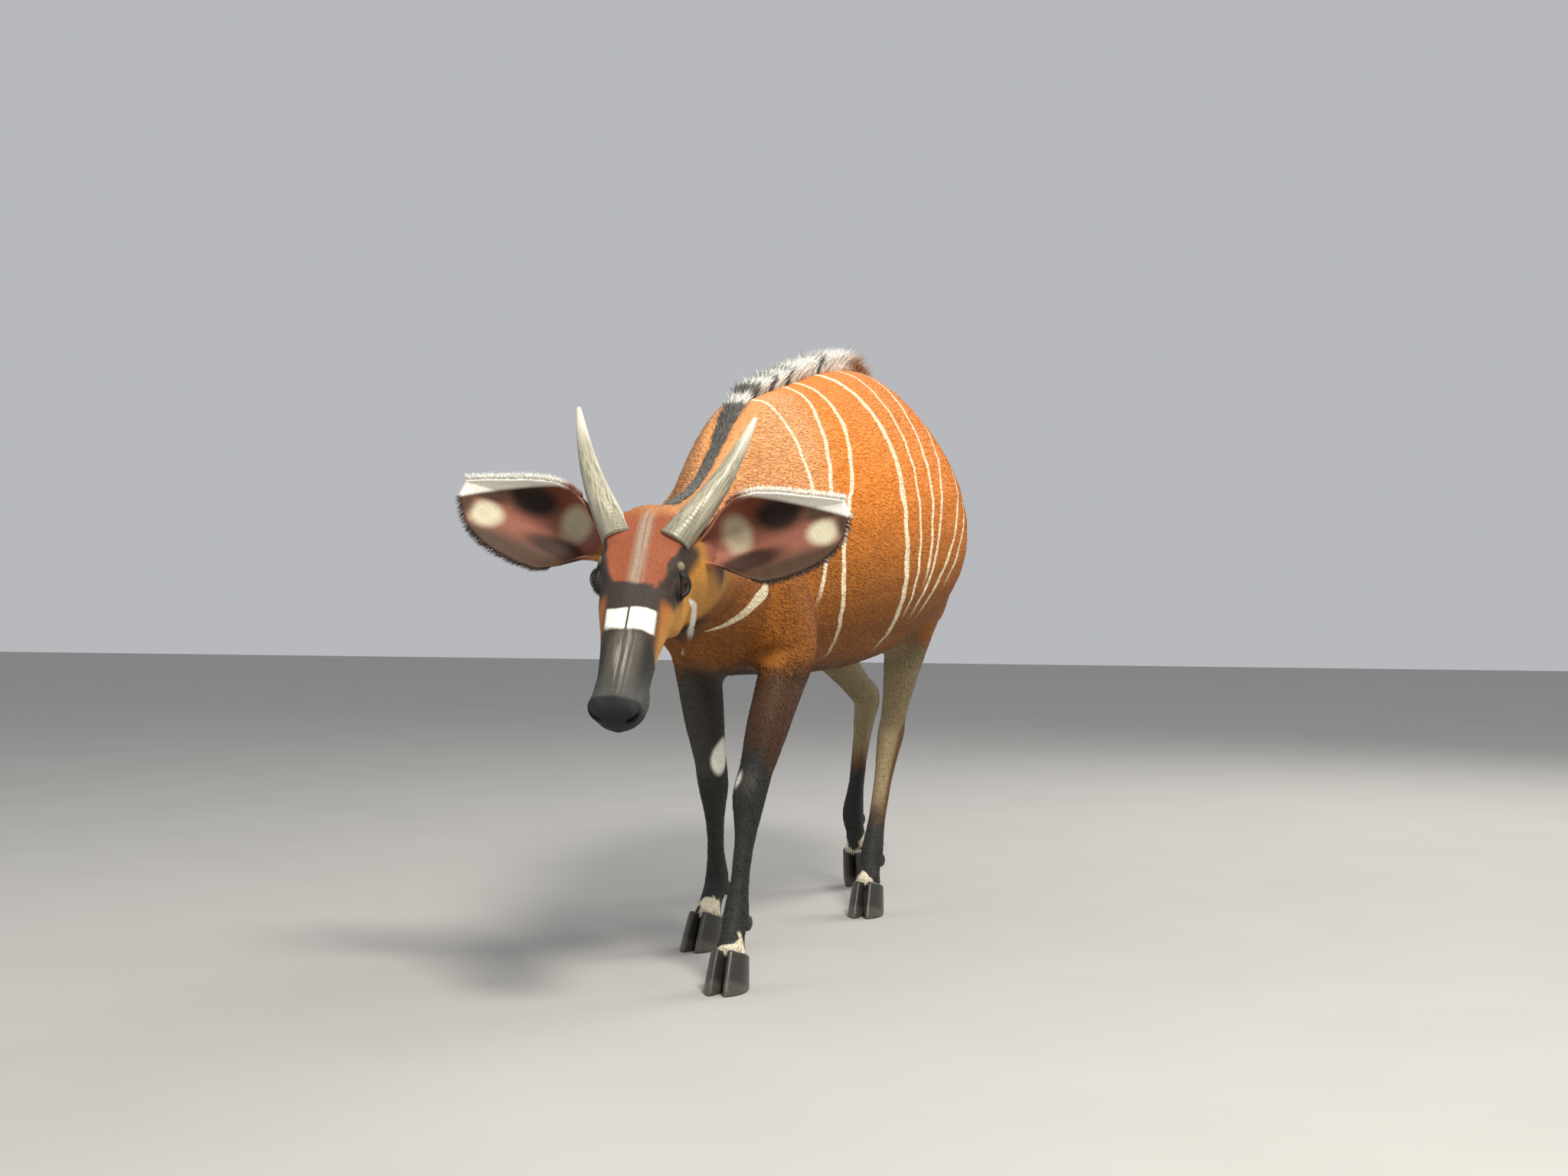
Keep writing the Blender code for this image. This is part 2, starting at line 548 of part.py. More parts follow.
def lock(root, along, flat, bend, length, width, thickness):
    """A flat tapered lock of hair that bends on its way from its root to its tip."""
    rings = []
    for t in LOCK_RINGS:
        ahead = (along * (1 - t) + (along + bend) * t).normalized()
        side = (flat - ahead * ahead.dot(flat)).normalized()
        thin = ahead.cross(side)
        centre = root + along * (length * t) + bend * (length * t * t * 0.5)
        size = (1 - 0.45 * t * t) * (1.0 if t else 0.85)
        rings.append([
            centre + side * (0.5 * width * size * a) + thin * (0.5 * thickness * (1 - 0.5 * t) * b)
            for a, b in ((1, 0), (0, 1), (-1, 0), (0, -1))
        ])
    return loft("lock", rings, root + along * length + bend * (length * 0.5))


def almond(centre, axis, length_axis, sizes, reach):
    """A prism of almond section that widens a little from a centre outwards."""
    length_axis = (length_axis - axis * axis.dot(length_axis)).normalized()
    up = axis.cross(length_axis)
    rings = []
    for distance, scale in ((0.0, 0.75), (reach, 1.45)):
        ring = []
        for turn in np.linspace(0, 2 * math.pi, 14, endpoint=False):
            narrow = 1 - 0.30 * abs(math.cos(turn)) ** 3
            ring.append(centre + axis * distance + length_axis * (scale * sizes[0] * math.cos(turn))
                        + up * (scale * sizes[1] * math.sin(turn) * narrow))
        rings.append(ring)
    return loft("opening", rings)


def surface_of(piece):
    """What rays from outside meet of a piece."""
    points = [vert.co.copy() for vert in piece.data.vertices]
    return BVHTree.FromPolygons(points, [face.vertices[:] for face in piece.data.polygons])


def carve_face(head):
    """Lids, eye sockets, nostrils and the line of the mouth."""
    for side in (1, -1):
        centre, axis = in_head(EYE, side), head_direction(EYE_AXIS, side)
        combine(head, "UNION", ball("lid", centre, (EYE_RADIUS + LID,) * 3, 18, 12))
        combine(head, "DIFFERENCE", ball("socket", centre, (EYE_RADIUS + GAP,) * 3, 14, 9),
                almond(centre, axis, head_direction(Vector((0, 1, 0.1)), side), EYE_OPENING, 0.05))
    surface = surface_of(head)
    line = []
    turns = np.linspace(-1.0, 1.0, MOUTH_POINTS)
    for turn in turns:
        side = 1 if turn > 0 else -1
        share = abs(turn)
        if share > MOUTH_ROUND:
            s = MOUTH_CENTRE + (MOUTH_CORNER - MOUTH_CENTRE) * (share - MOUTH_ROUND) / (1 - MOUTH_ROUND)
            outside, ray = in_head((s, 0.1, MOUTH_LEVEL), side), head_direction(Vector((-1, 0, 0)), side)
        else:
            angle = share / MOUTH_ROUND * math.pi / 2
            way = Vector((-math.sin(angle), math.cos(angle), 0))
            place = (MOUTH_CENTRE + 0.1 * math.cos(angle), 0.1 * math.sin(angle), MOUTH_LEVEL)
            outside, ray = in_head(place, side), head_direction(way, side)
        line.append(surface.ray_cast(outside, ray)[0])
    thickness = [MOUTH_GROOVE * (1.0 - 0.45 * abs(turn) ** 4) for turn in turns]
    combine(head, "DIFFERENCE", tube("mouth", line, thickness, 5))
    for side in (1, -1):
        nostril = ball("nostril", (0, 0, 0), NOSTRIL_RADII, 14, 8)
        lie = Euler((NOSTRIL_LIE[0], 0, side * NOSTRIL_LIE[1])).to_matrix().to_4x4()
        place = Matrix.Translation((side * NOSTRIL[1], -NOSTRIL[0], NOSTRIL[2]))
        nostril.data.transform(HEAD_FRAME @ place @ lie)
        combine(head, "DIFFERENCE", nostril)


def crest(piece, chance):
    """Locks of stiff hair along the line of neck and back."""
    surface = surface_of(piece)
    locks = []
    middles, rows = np.array(TRUNK)[:, :2], np.array(CREST)
    y = CREST[0][0]
    while y < CREST[-1][0]:
        x = np.interp(y, middles[:, 0], middles[:, 1]) + chance.uniform(-0.004, 0.004)
        length, lean, width = (np.interp(y, rows[:, 0], rows[:, k]) for k in (1, 2, 3))
        root = surface.ray_cast(Vector((x, y, 1.5)), Vector((0, 0, -1)))[0]
        along = Vector((chance.uniform(-0.16, 0.16), lean + chance.uniform(-0.12, 0.12), 1.0)).normalized()
        bend = Vector((chance.uniform(-0.15, 0.15), chance.uniform(0.25, 0.5), -0.10))
        locks.append(lock(root - along * LOCK_SUNK, along, Vector((0, 1, 0)), bend,
                          LOCK_SUNK + length * chance.uniform(0.85, 1.12), width * chance.uniform(0.85, 1.15),
                          chance.uniform(*CREST_THICKNESS)))
        y += CREST_STEP * width * chance.uniform(0.85, 1.15)
    unite_all(piece, locks)


def tail(chance):
    """The tail with the tuft at its end."""
    rows = smooth_rows(TAIL, 2)
    made = tube("tail", [Vector(row[:3]) for row in rows], [row[3] for row in rows], 10)
    locks = []
    for place, count in TUFT_ROWS:
        for k in range(count):
            turn = 2 * math.pi * (k + 0.5 * chance.random()) / count
            out = Vector((math.cos(turn), math.sin(turn), 0))
            x = np.interp(place, TUFT_HEIGHTS, TUFT_ACROSS)
            along = (Vector((0, 0, -1)) + out * 0.22).normalized()
            bend = -out * 0.35 + Vector((0.05, 0.10, 0))
            locks.append(lock(Vector((x, TUFT_REAR, place)) + out * 0.003, along, out.cross(along), bend,
                              chance.uniform(*TUFT_LENGTH), TUFT_WIDTH, TUFT_THICKNESS))
    unite_all(made, locks)
    return made


def dewclaw(name, foot, side):
    """A small blunt claw behind the fetlock."""
    centre = Vector(LEGS[foot][-2]) + Vector(DEWCLAW_PLACE) * Vector((side, 1, 1))
    return ball(name, centre, DEWCLAW_RADII, 7, 5)


clear_scene()
CHANCE = random.Random(7)
HEAD_FRAME = Matrix.Translation(POLL) @ (
    Euler((0, HEAD_ROLL, 0)).to_matrix()
    @ Euler((0, 0, HEAD_YAW)).to_matrix()
    @ Euler((HEAD_PITCH, 0, 0)).to_matrix()
).to_4x4()
CORONET_UP = Vector((0, CORONET_SLOPE, 1)).normalized()

flesh = [trunk(TRUNK)] + [leg_flesh(name) for name in LEGS]
head_flesh = skull()
body = fused("torso", flesh + head_flesh, BODY_VOXEL, 12, BODY_TRIANGLES)
neck_flesh = trunk(TRUNK[:NECK_ROWS])
head = fused("head", head_flesh + [neck_flesh], HEAD_VOXEL, 10, HEAD_TRIANGLES)
for spent in flesh + head_flesh + [neck_flesh]:
    bpy.data.objects.remove(spent)

crest(body, CHANCE)
parts = []
for name in LEGS:
    limb = combine(copy_of(body, name.replace("_", "_leg_", 1)), "INTERSECT", leg_block(name))
    foot = foot_frame(name)
    combine(limb, "DIFFERENCE", half_space(foot.translation, foot.to_3x3() @ -CORONET_UP, 0.12))
    parts.append(limb)
neck = combine(copy_of(body, "neck"), "INTERSECT", half_space(*NECK_CUT))
combine(neck, "DIFFERENCE", half_space(HEAD_CUT[0] - HEAD_CUT[1] * GAP, HEAD_CUT[1]))
combine(head, "INTERSECT", half_space(*HEAD_CUT))
combine(body, "DIFFERENCE", half_space(NECK_CUT[0] - NECK_CUT[1] * GAP, NECK_CUT[1]),
        *[leg_block(name, GAP) for name in LEGS])
carve_face(head)
tail_piece = combine(tail(CHANCE), "DIFFERENCE", shifted(body, Vector((0, 1, -0.1))))

for side, hand in ((1, "left"), (-1, "right")):
    for made, way in ((ear("ear_" + hand, side), EAR_AXES[side]), (horn("horn_" + hand, side), HORN_AXIS)):
        way = head_direction(way, side)
        neck_ways = (way, HEAD_CUT[1], way + HEAD_CUT[1])
        trims = [shifted(head, way)] + [shifted(neck, each) for each in neck_ways]
        parts.append(combine(made, "DIFFERENCE", *trims))
    parts.append(ball("eye_" + hand, in_head(EYE, side), (EYE_RADIUS,) * 3, 14, 9))

parts += [head, neck, body, tail_piece]

for name in LEGS:
    end, hand = name.split("_")
    limb = next(part for part in parts if part.name == f"{end}_leg_{hand}")
    for side, place in ((1, "outer"), (-1, "inner")):
        lie = side if hand == "left" else -side
        parts.append(claw(f"{end}_hoof_{hand}_{place}", name, lie))
        made = dewclaw(f"{end}_dewclaw_{hand}_{place}", name, lie)
        ways = (Vector((lie, 0.3, 0)), Vector((-lie, 1, 0)), Vector((0, 0.5, -1)))
        combine(made, "DIFFERENCE", *[shifted(limb, way) for way in ways])
        made.data.transform(Matrix.Translation(Vector(DEWCLAW_MOVE) * Vector((lie, 1, 1)) * GAP))
        parts.append(made)

corners = np.array([vert.co for part in parts for vert in part.data.vertices])
ORIGIN_SHIFT = Vector((*(-0.5 * (corners.min(axis=0) + corners.max(axis=0)))[:2], 0.0))
group = bpy.data.collections.new("Bongo")
bpy.context.scene.collection.children.link(group)
for part in parts:
    part.data.transform(Matrix.Translation(ORIGIN_SHIFT))
    bpy.context.scene.collection.objects.unlink(part)
    group.objects.link(part)
    kind = next(key for key in COLOURS if key in part.name)
    material = bpy.data.materials.new(part.name)
    material.use_nodes = True
    surface = material.node_tree.nodes["Principled BSDF"]
    surface.inputs["Base Color"].default_value = (*COLOURS[kind], 1.0)
    surface.inputs["Roughness"].default_value = SHINE.get(kind, 0.7)
    part.data.materials.clear()
    part.data.materials.append(material)
    part.data.name = part.name
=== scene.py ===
"""The looks of a young bongo antelope: skin, coat, crest, horns, hooves and eyes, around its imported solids.

Sizes are metres in the frame of the solids: the animal faces -Y, its left side is +X and the floor is Z = 0.
"""

import functools
import math

import bmesh
import bpy
import numpy as np
from mathutils import Euler, Matrix, Vector


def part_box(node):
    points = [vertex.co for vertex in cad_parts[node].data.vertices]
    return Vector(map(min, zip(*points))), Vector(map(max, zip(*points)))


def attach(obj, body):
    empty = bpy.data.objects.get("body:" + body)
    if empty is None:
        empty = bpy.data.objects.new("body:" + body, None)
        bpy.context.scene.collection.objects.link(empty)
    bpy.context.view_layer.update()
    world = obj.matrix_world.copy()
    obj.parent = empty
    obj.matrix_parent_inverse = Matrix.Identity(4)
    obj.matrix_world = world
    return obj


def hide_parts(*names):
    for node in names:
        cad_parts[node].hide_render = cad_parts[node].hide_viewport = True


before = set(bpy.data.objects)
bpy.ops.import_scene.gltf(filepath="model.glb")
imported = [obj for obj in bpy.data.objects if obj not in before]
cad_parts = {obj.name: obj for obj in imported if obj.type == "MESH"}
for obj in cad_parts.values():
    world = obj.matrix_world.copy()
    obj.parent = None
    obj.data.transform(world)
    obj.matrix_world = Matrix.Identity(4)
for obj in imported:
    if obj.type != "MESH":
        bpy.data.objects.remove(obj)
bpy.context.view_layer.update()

# The skin: one closed surface over trunk, neck, head, legs and tail, which lies inside the solids by the
# coat's depth. It is fused from the solids' own flesh, with the crest's locks levelled and the tail's tuft
# cut off, because that hair is made anew further down.
FLESH = [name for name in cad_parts
         if name.startswith(("torso", "neck", "head", "tail")) or "_leg_" in name]
EYES = ("eye_left", "eye_right")
SKIN_MESH, SKIN_ROUNDS, SHRINK, SWELL = 0.0072, 14, 0.55, -0.57
CREST_REACH, TAIL_END = 0.036, 0.612
BODY_COAT, FINE_COAT, WELD = 0.0036, 0.0016, 1e-5
# The line of the back under the crest: along the animal, off its middle plane, and how high the flesh is.
BACK = np.array((
    (-0.642, 0.031, 0.760), (-0.572, 0.021, 0.775), (-0.492, 0.008, 0.791), (-0.422, -0.004, 0.813),
    (-0.352, -0.015, 0.845), (-0.292, -0.023, 0.882), (-0.222, -0.030, 0.931), (-0.132, -0.036, 0.971),
    (-0.012, -0.042, 0.996), (0.128, -0.047, 1.024), (0.268, -0.050, 1.053), (0.408, -0.050, 1.074),
    (0.518, -0.050, 1.076), (0.618, -0.050, 1.056), (0.698, -0.050, 1.010),
))

# The head's directions in the solids: +X to its left, -Y along the face to the nose, +Z out of the forehead.
# A place in the head is its distance from the poll, how far off the middle, and its height over the poll.
HEAD_TURN = (
    Euler((0, math.radians(4), 0)).to_matrix()
    @ Euler((0, 0, math.radians(12))).to_matrix()
    @ Euler((math.radians(57), 0, 0)).to_matrix()
)
EYE, EYE_RADIUS = (0.118, 0.056, -0.033), 0.021
SIDES = {1: "left", -1: "right"}


def poll_of_head():
    """The poll between the horns, found from the solids' left eye."""
    low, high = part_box("eye_left")
    return (low + high) / 2 - HEAD_TURN @ Vector((EYE[1], -EYE[0], EYE[2]))


POLL = poll_of_head()


def in_head(place, side=1):
    """The point at a place in the head, on its left (1) or right (-1) side."""
    distance, across, height = place
    return POLL + HEAD_TURN @ Vector((side * across, -distance, height))


def head_way(direction, side=1):
    """A direction on the head's left side, or its mirror image on the right."""
    return (HEAD_TURN @ Vector((side * direction[0], direction[1], direction[2]))).normalized()


def head_places(points):
    """Distance from the poll, distance off the middle and height of many points."""
    local = (points - np.array(POLL)) @ np.array(HEAD_TURN)
    return -local[:, 1], np.abs(local[:, 0]), local[:, 2]


def back_line(y):
    """Off the middle plane and height of the back at distances along the animal."""
    return np.interp(y, BACK[:, 0], BACK[:, 1]), np.interp(y, BACK[:, 0], BACK[:, 2])


def smooth_step(low, high, value):
    """0 at low, 1 at high and a soft rise between them; low may be above high."""
    t = np.clip((value - low) / (high - low), 0, 1)
    return t * t * (3 - 2 * t)


def points_of(mesh, kind="co"):
    """A mesh's points, or with "normal" the outward direction at each."""
    values = np.empty(len(mesh.vertices) * 3)
    mesh.vertices.foreach_get(kind, values)
    return values.reshape(-1, 3)


def put_points(mesh, points):
    """Moves a mesh's points."""
    mesh.vertices.foreach_set("co", np.ascontiguousarray(points, float).ravel())
    mesh.update()


def even_out(mesh, rounds, share=1.0):
    """Smooths a mesh, by the share given for each point, without shrinking it."""
    points = points_of(mesh)
    ends = np.empty(len(mesh.edges) * 2, int)
    mesh.edges.foreach_get("vertices", ends)
    one, two = ends.reshape(-1, 2).T
    count = np.maximum(np.bincount(ends, minlength=len(points)), 1)[:, None]
    for _ in range(rounds):
        for factor in (SHRINK, SWELL):
            around = np.stack([
                np.bincount(one, points[two, k], len(points))
                + np.bincount(two, points[one, k], len(points)) for k in range(3)
            ], axis=1) / count
            points += factor * share * (around - points)
    put_points(mesh, points)


def new_piece(name, shape):
    """An object of the scene from a bmesh, shaded smooth."""
    mesh = bpy.data.meshes.new(name)
    shape.to_mesh(mesh)
    shape.free()
    mesh.shade_smooth()
    made = bpy.data.objects.new(name, mesh)
    bpy.context.scene.collection.objects.link(made)
    return made


def apply_modifiers(piece):
    """Replaces a piece's mesh by what its modifiers make of it."""
    made = bpy.data.meshes.new_from_object(piece.evaluated_get(bpy.context.evaluated_depsgraph_get()))
    piece.modifiers.clear()
    piece.data = made


def fill_holes(shape):
    """Closes the open edges of a shape."""
    bmesh.ops.holes_fill(shape, edges=[edge for edge in shape.edges if edge.is_boundary])


def cut_below(shape, height):
    """Cuts off what lies below a height, and closes the cut."""
    bmesh.ops.bisect_plane(shape, geom=shape.verts[:] + shape.edges[:] + shape.faces[:],
                           plane_co=(0, 0, height), plane_no=(0, 0, -1), clear_outer=True)
    fill_holes(shape)


flesh = bmesh.new()
for name in (*FLESH, *EYES):
    part = bmesh.new()
    part.from_mesh(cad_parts[name].data)
    bmesh.ops.remove_doubles(part, verts=part.verts, dist=WELD)
    if name == "tail":
        cut_below(part, TAIL_END)
    if name in ("torso", "neck"):
        for vert in part.verts:
            middle, top = back_line(vert.co.y)
            if abs(vert.co.x - middle) < CREST_REACH:
                vert.co.z = min(vert.co.z, top)
    levelled = bpy.data.meshes.new(name)
    part.to_mesh(levelled)
    part.free()
    flesh.from_mesh(levelled)
skin = new_piece("skin", flesh)
fuse = skin.modifiers.new("fuse", "REMESH")
fuse.mode = "VOXEL"
fuse.voxel_size = SKIN_MESH
apply_modifiers(skin)
even_out(skin.data, SKIN_ROUNDS)


def head_share(points):
    """1 on the head and 0 off it."""
    distance, across, height = head_places(points)
    share = smooth_step(-0.06, 0.02, distance) * smooth_step(-0.22, -0.16, height)
    return share * smooth_step(0.14, 0.11, across)


points = points_of(skin.data)
fine = np.maximum(head_share(points), smooth_step(0.52, 0.40, points[:, 2]))
depth = BODY_COAT + (FINE_COAT - BODY_COAT) * fine
put_points(skin.data, points - points_of(skin.data, "normal") * depth[:, None])

# The face is carved in the skin: lids that close on the eyes, nostrils, lips and the line of the mouth. The
# mesh is halved around them first, and its points are then moved in and out. Lids and nostrils are told by
# their edge, which is 1 at the rim of the opening, and a fold by where it lies and how wide it is.
EYE_AXIS, EYE_LONG = (0.82, -0.40, 0.36), (-0.30, 0.75, 0.60)
BALL_RADIUS, EYE_OPENING, EYE_NARROW = 0.0188, (0.0150, 0.0080), 0.30
LID_EDGE, LID_THICKNESS, LID_RISE, SOCKET = 0.0005, 0.0022, (1.02, 1.40), 0.80
LID_CREASE, LID_FOLD = 0.0010, (1.75, 0.13)
NOSTRIL, NOSTRIL_AXIS, NOSTRIL_LONG = (0.344, 0.0255, -0.030), (0.62, -0.72, 0.30), (0.80, 0.45, 0.40)
NOSTRIL_SIZE, NOSTRIL_REACH, NOSTRIL_BOW, NOSTRIL_DROP = (0.0125, 0.0055), 0.024, 12.0, 0.002
NOSTRIL_DEPTH, NOSTRIL_WALL, NOSTRIL_RIM, NOSTRIL_FOLD = 0.0100, (1.05, 0.45), 0.0014, (1.45, 0.30)
MOUTH_LEVEL, MOUTH_CORNER, MOUTH_DEPTH, LIP = -0.070, 0.232, 0.0032, 0.0016
# Folds across the line of the mouth: height over it, half width, and how far out each stands.
MOUTH_FOLDS = ((0.0055, 0.0035, LIP), (-0.006, 0.004, 0.6 * LIP), (0.0, 0.0016, -MOUTH_DEPTH))


# How finely the head's mesh is halved again: how near to the eyes and nostrils, how far from the line of the
# mouth, and from what distance on the muzzle.
REFINED = {"around_eyes": 0.046, "lids": 0.032, "nostrils": 0.020, "lips": 0.009, "muzzle": 0.215}


def refine(piece, wanted):
    """Halves the mesh where wanted says so of its points, and evens out what was halved."""
    shape = bmesh.new()
    shape.from_mesh(piece.data)
    inside = wanted(points_of(piece.data))
    edges = [edge for edge in shape.edges if inside[edge.verts[0].index] and inside[edge.verts[1].index]]
    bmesh.ops.subdivide_edges(shape, edges=edges, cuts=1, use_grid_fill=True)
    shape.to_mesh(piece.data)
    shape.free()
    even_out(piece.data, 3, wanted(points_of(piece.data))[:, None] * 1.0)


def near(points, centres, reach):
    """Whether points are within reach of any of the centres."""
    return np.min([np.linalg.norm(points - np.array(centre), axis=1) for centre in centres], axis=0) < reach


def eye_frame(side):
    """The eye's centre, and its directions out, along the slit and up."""
    out, slit = head_way(EYE_AXIS, side), head_way(EYE_LONG, side)
    slit = (slit - out * out.dot(slit)).normalized()
    return in_head(EYE, side), out, slit, out.cross(slit) * side


def arrays(vectors):
    """Vectors as arrays, to reckon with many points."""
    return [np.array(vector) for vector in vectors]


def fold(value, at, width):
    """A bell-shaped rise to 1 at a value."""
    return np.exp(-((value - at) / width) ** 2)


def whole_head(points):
    """Points of the face and skull."""
    distance, across, height = head_places(points)
    return (distance > -0.02) & (distance < 0.40) & (across < 0.10) & (height > -0.17) & (height < 0.05)


def muzzle_and_eyes(points):
    """Points of the muzzle and round the eyes."""
    around = near(points, [in_head(EYE, side) for side in SIDES], REFINED["around_eyes"])
    return whole_head(points) & (head_places(points)[0] > REFINED["muzzle"]) | around


def lips_and_lids(points):
    """Points where the mesh has to be finest."""
    distance, across, height = head_places(points)
    lips = (distance > MOUTH_CORNER - 0.010) & (across < 0.10)
    lips &= np.abs(height - MOUTH_LEVEL) < REFINED["lips"]
    nostrils = near(points, [in_head(NOSTRIL, side) for side in SIDES], REFINED["nostrils"])
    lids = near(points, [in_head(EYE, side) for side in SIDES], REFINED["lids"])
    return lips & whole_head(points) | nostrils | lids


for region in (whole_head, muzzle_and_eyes, lips_and_lids):
    refine(skin, region)

points, ways = points_of(skin.data), points_of(skin.data, "normal")
distance, across, height = head_places(points)
for side in SIDES:
    centre, out, slit, up = arrays(eye_frame(side))
    away = points - centre
    radius = np.linalg.norm(away, axis=1)
    facing = away / radius[:, None]
    along, above = facing @ slit * BALL_RADIUS, facing @ up * BALL_RADIUS
    narrow = 1 - EYE_NARROW * np.clip(np.abs(along) / EYE_OPENING[0], 0, 1) ** 3
    edge = np.hypot(along / EYE_OPENING[0], above / (EYE_OPENING[1] * narrow))
    lid = BALL_RADIUS + LID_EDGE + (LID_THICKNESS - LID_EDGE) * smooth_step(*LID_RISE, edge)
    lid -= LID_CREASE * fold(edge, *LID_FOLD) * (above > 0)
    lid = np.where(edge < 0.99, SOCKET * BALL_RADIUS, lid)
    share = smooth_step(0.05, 0.45, facing @ out)
    share *= smooth_step(2.1 * EYE_RADIUS, 1.5 * EYE_RADIUS, radius)
    points += facing * (share * (lid - radius))[:, None]

    centre, out, long = arrays((
        in_head(NOSTRIL, side), head_way(NOSTRIL_AXIS, side), head_way(NOSTRIL_LONG, side)))
    long -= out * (out @ long)
    long /= np.linalg.norm(long)
    up = np.cross(out, long) * side
    along, above = (points - centre) @ long, (points - centre) @ up
    above = above - NOSTRIL_BOW * along ** 2 + NOSTRIL_DROP
    edge = np.hypot(along / NOSTRIL_SIZE[0], above / NOSTRIL_SIZE[1])
    here = np.linalg.norm(points - centre, axis=1) < NOSTRIL_REACH
    move = NOSTRIL_RIM * fold(edge, *NOSTRIL_FOLD) - NOSTRIL_DEPTH * smooth_step(*NOSTRIL_WALL, edge)
    points += out * (here * move)[:, None]
in_mouth = smooth_step(MOUTH_CORNER - 0.004, MOUTH_CORNER + 0.012, distance) * whole_head(points)
move = sum(rise * fold(height - MOUTH_LEVEL, at, width) for at, width, rise in MOUTH_FOLDS)
put_points(skin.data, points + ways * (in_mouth * move)[:, None])

# The ears: broad leaf-shaped cups of skin and gristle on a short stem, which grow out of the head behind the
# horns. Each is bent from a flat sheet, given its thickness and fused with the skin. Rows hold the share of
# the length, the half widths above and below the middle, and half the turn of the cup in degrees.
EAR_ROWS = np.array((
    (0.00, 0.022, 0.024, 165), (0.10, 0.026, 0.028, 150), (0.19, 0.033, 0.036, 125),
    (0.30, 0.051, 0.058, 98), (0.40, 0.063, 0.074, 78), (0.52, 0.061, 0.078, 66),
    (0.65, 0.049, 0.077, 58), (0.76, 0.035, 0.072, 53), (0.87, 0.022, 0.060, 48),
    (0.94, 0.013, 0.042, 44), (1.00, 0.005, 0.018, 40),
))
EAR_ROOT, EAR_LENGTH, EAR_WALL, EAR_RIM, EAR_GRID = (0.040, 0.048, -0.076), 0.260, 0.0032, 0.028, (26, 44)
EAR_AXES = {1: (0.92, 0.36, 0.15), -1: (0.96, 0.30, 0.23)}
EAR_OPENING = (0.12, -0.62, 0.78)
EAR_INSET, EAR_FOLD, EAR_FOLDS = 0.0012, 0.0012, 14


def ear_frame(side):
    """An ear's root, and its directions to the tip, out of the cup and up."""
    axis, opening = head_way(EAR_AXES[side], side), head_way(EAR_OPENING, side)
    opening = (opening - axis * axis.dot(opening)).normalized()
    return in_head(EAR_ROOT, side), axis, opening, opening.cross(axis) * side


def ear_point(side, share, turn_share):
    """A point in the wall of an ear: at a share of its length, from the lower (-1) to the upper rim (1)."""
    root, axis, opening, upward = ear_frame(side)
    above, below, half_turn = (np.interp(share, EAR_ROWS[:, 0], EAR_ROWS[:, k]) for k in (1, 2, 3))
    half_turn = math.radians(half_turn)
    widest = math.sin(min(half_turn, math.pi / 2))
    rim_depth = 0.5 * (above + below) * (1 - math.cos(half_turn)) / widest
    radius = (above if turn_share > 0 else below) / widest - EAR_INSET
    ripple = EAR_FOLD * math.cos(EAR_FOLDS * turn_share) * math.sin(math.pi * share)
    deep = EAR_RIM - rim_depth + radius * (1 - math.cos(half_turn * turn_share)) + ripple
    high = radius * math.sin(half_turn * turn_share)
    return root + axis * (share * EAR_LENGTH) + upward * high + opening * deep


for side in SIDES:
    root, axis, opening, upward = ear_frame(side)
    sheet = bmesh.new()
    bmesh.ops.create_grid(sheet, x_segments=EAR_GRID[0], y_segments=EAR_GRID[1], size=1)
    for vert in sheet.verts:
        vert.co = ear_point(side, (vert.co.y + 1) / 2, vert.co.x)
    bmesh.ops.recalc_face_normals(sheet, faces=sheet.faces)
    if sum(face.normal.dot(opening) for face in sheet.faces) > 0:
        bmesh.ops.reverse_faces(sheet, faces=sheet.faces)
    bmesh.ops.solidify(sheet, geom=sheet.faces[:], thickness=EAR_WALL)
    bmesh.ops.recalc_face_normals(sheet, faces=sheet.faces)
    ear = new_piece("ear", sheet)
    even_out(ear.data, 2)
    grow = skin.modifiers.new("grow", "BOOLEAN")
    grow.operation, grow.solver, grow.object = "UNION", "MANIFOLD", ear
    apply_modifiers(skin)
    bpy.data.objects.remove(ear)
points = points_of(skin.data)
stems = [np.linalg.norm(points - np.array(ear_frame(side)[0]), axis=1) for side in SIDES]
even_out(skin.data, 4, smooth_step(0.050, 0.030, np.min(stems, axis=0))[:, None])

# An unwrap of the skin's own shape says where on it the root of each hair is.
skin.data.shade_smooth()
bpy.context.view_layer.objects.active = skin
skin.select_set(True)
bpy.ops.object.mode_set(mode="EDIT")
bpy.ops.mesh.select_all(action="SELECT")
bpy.ops.uv.smart_project(angle_limit=math.radians(66), island_margin=0.001)
bpy.ops.object.mode_set(mode="OBJECT")


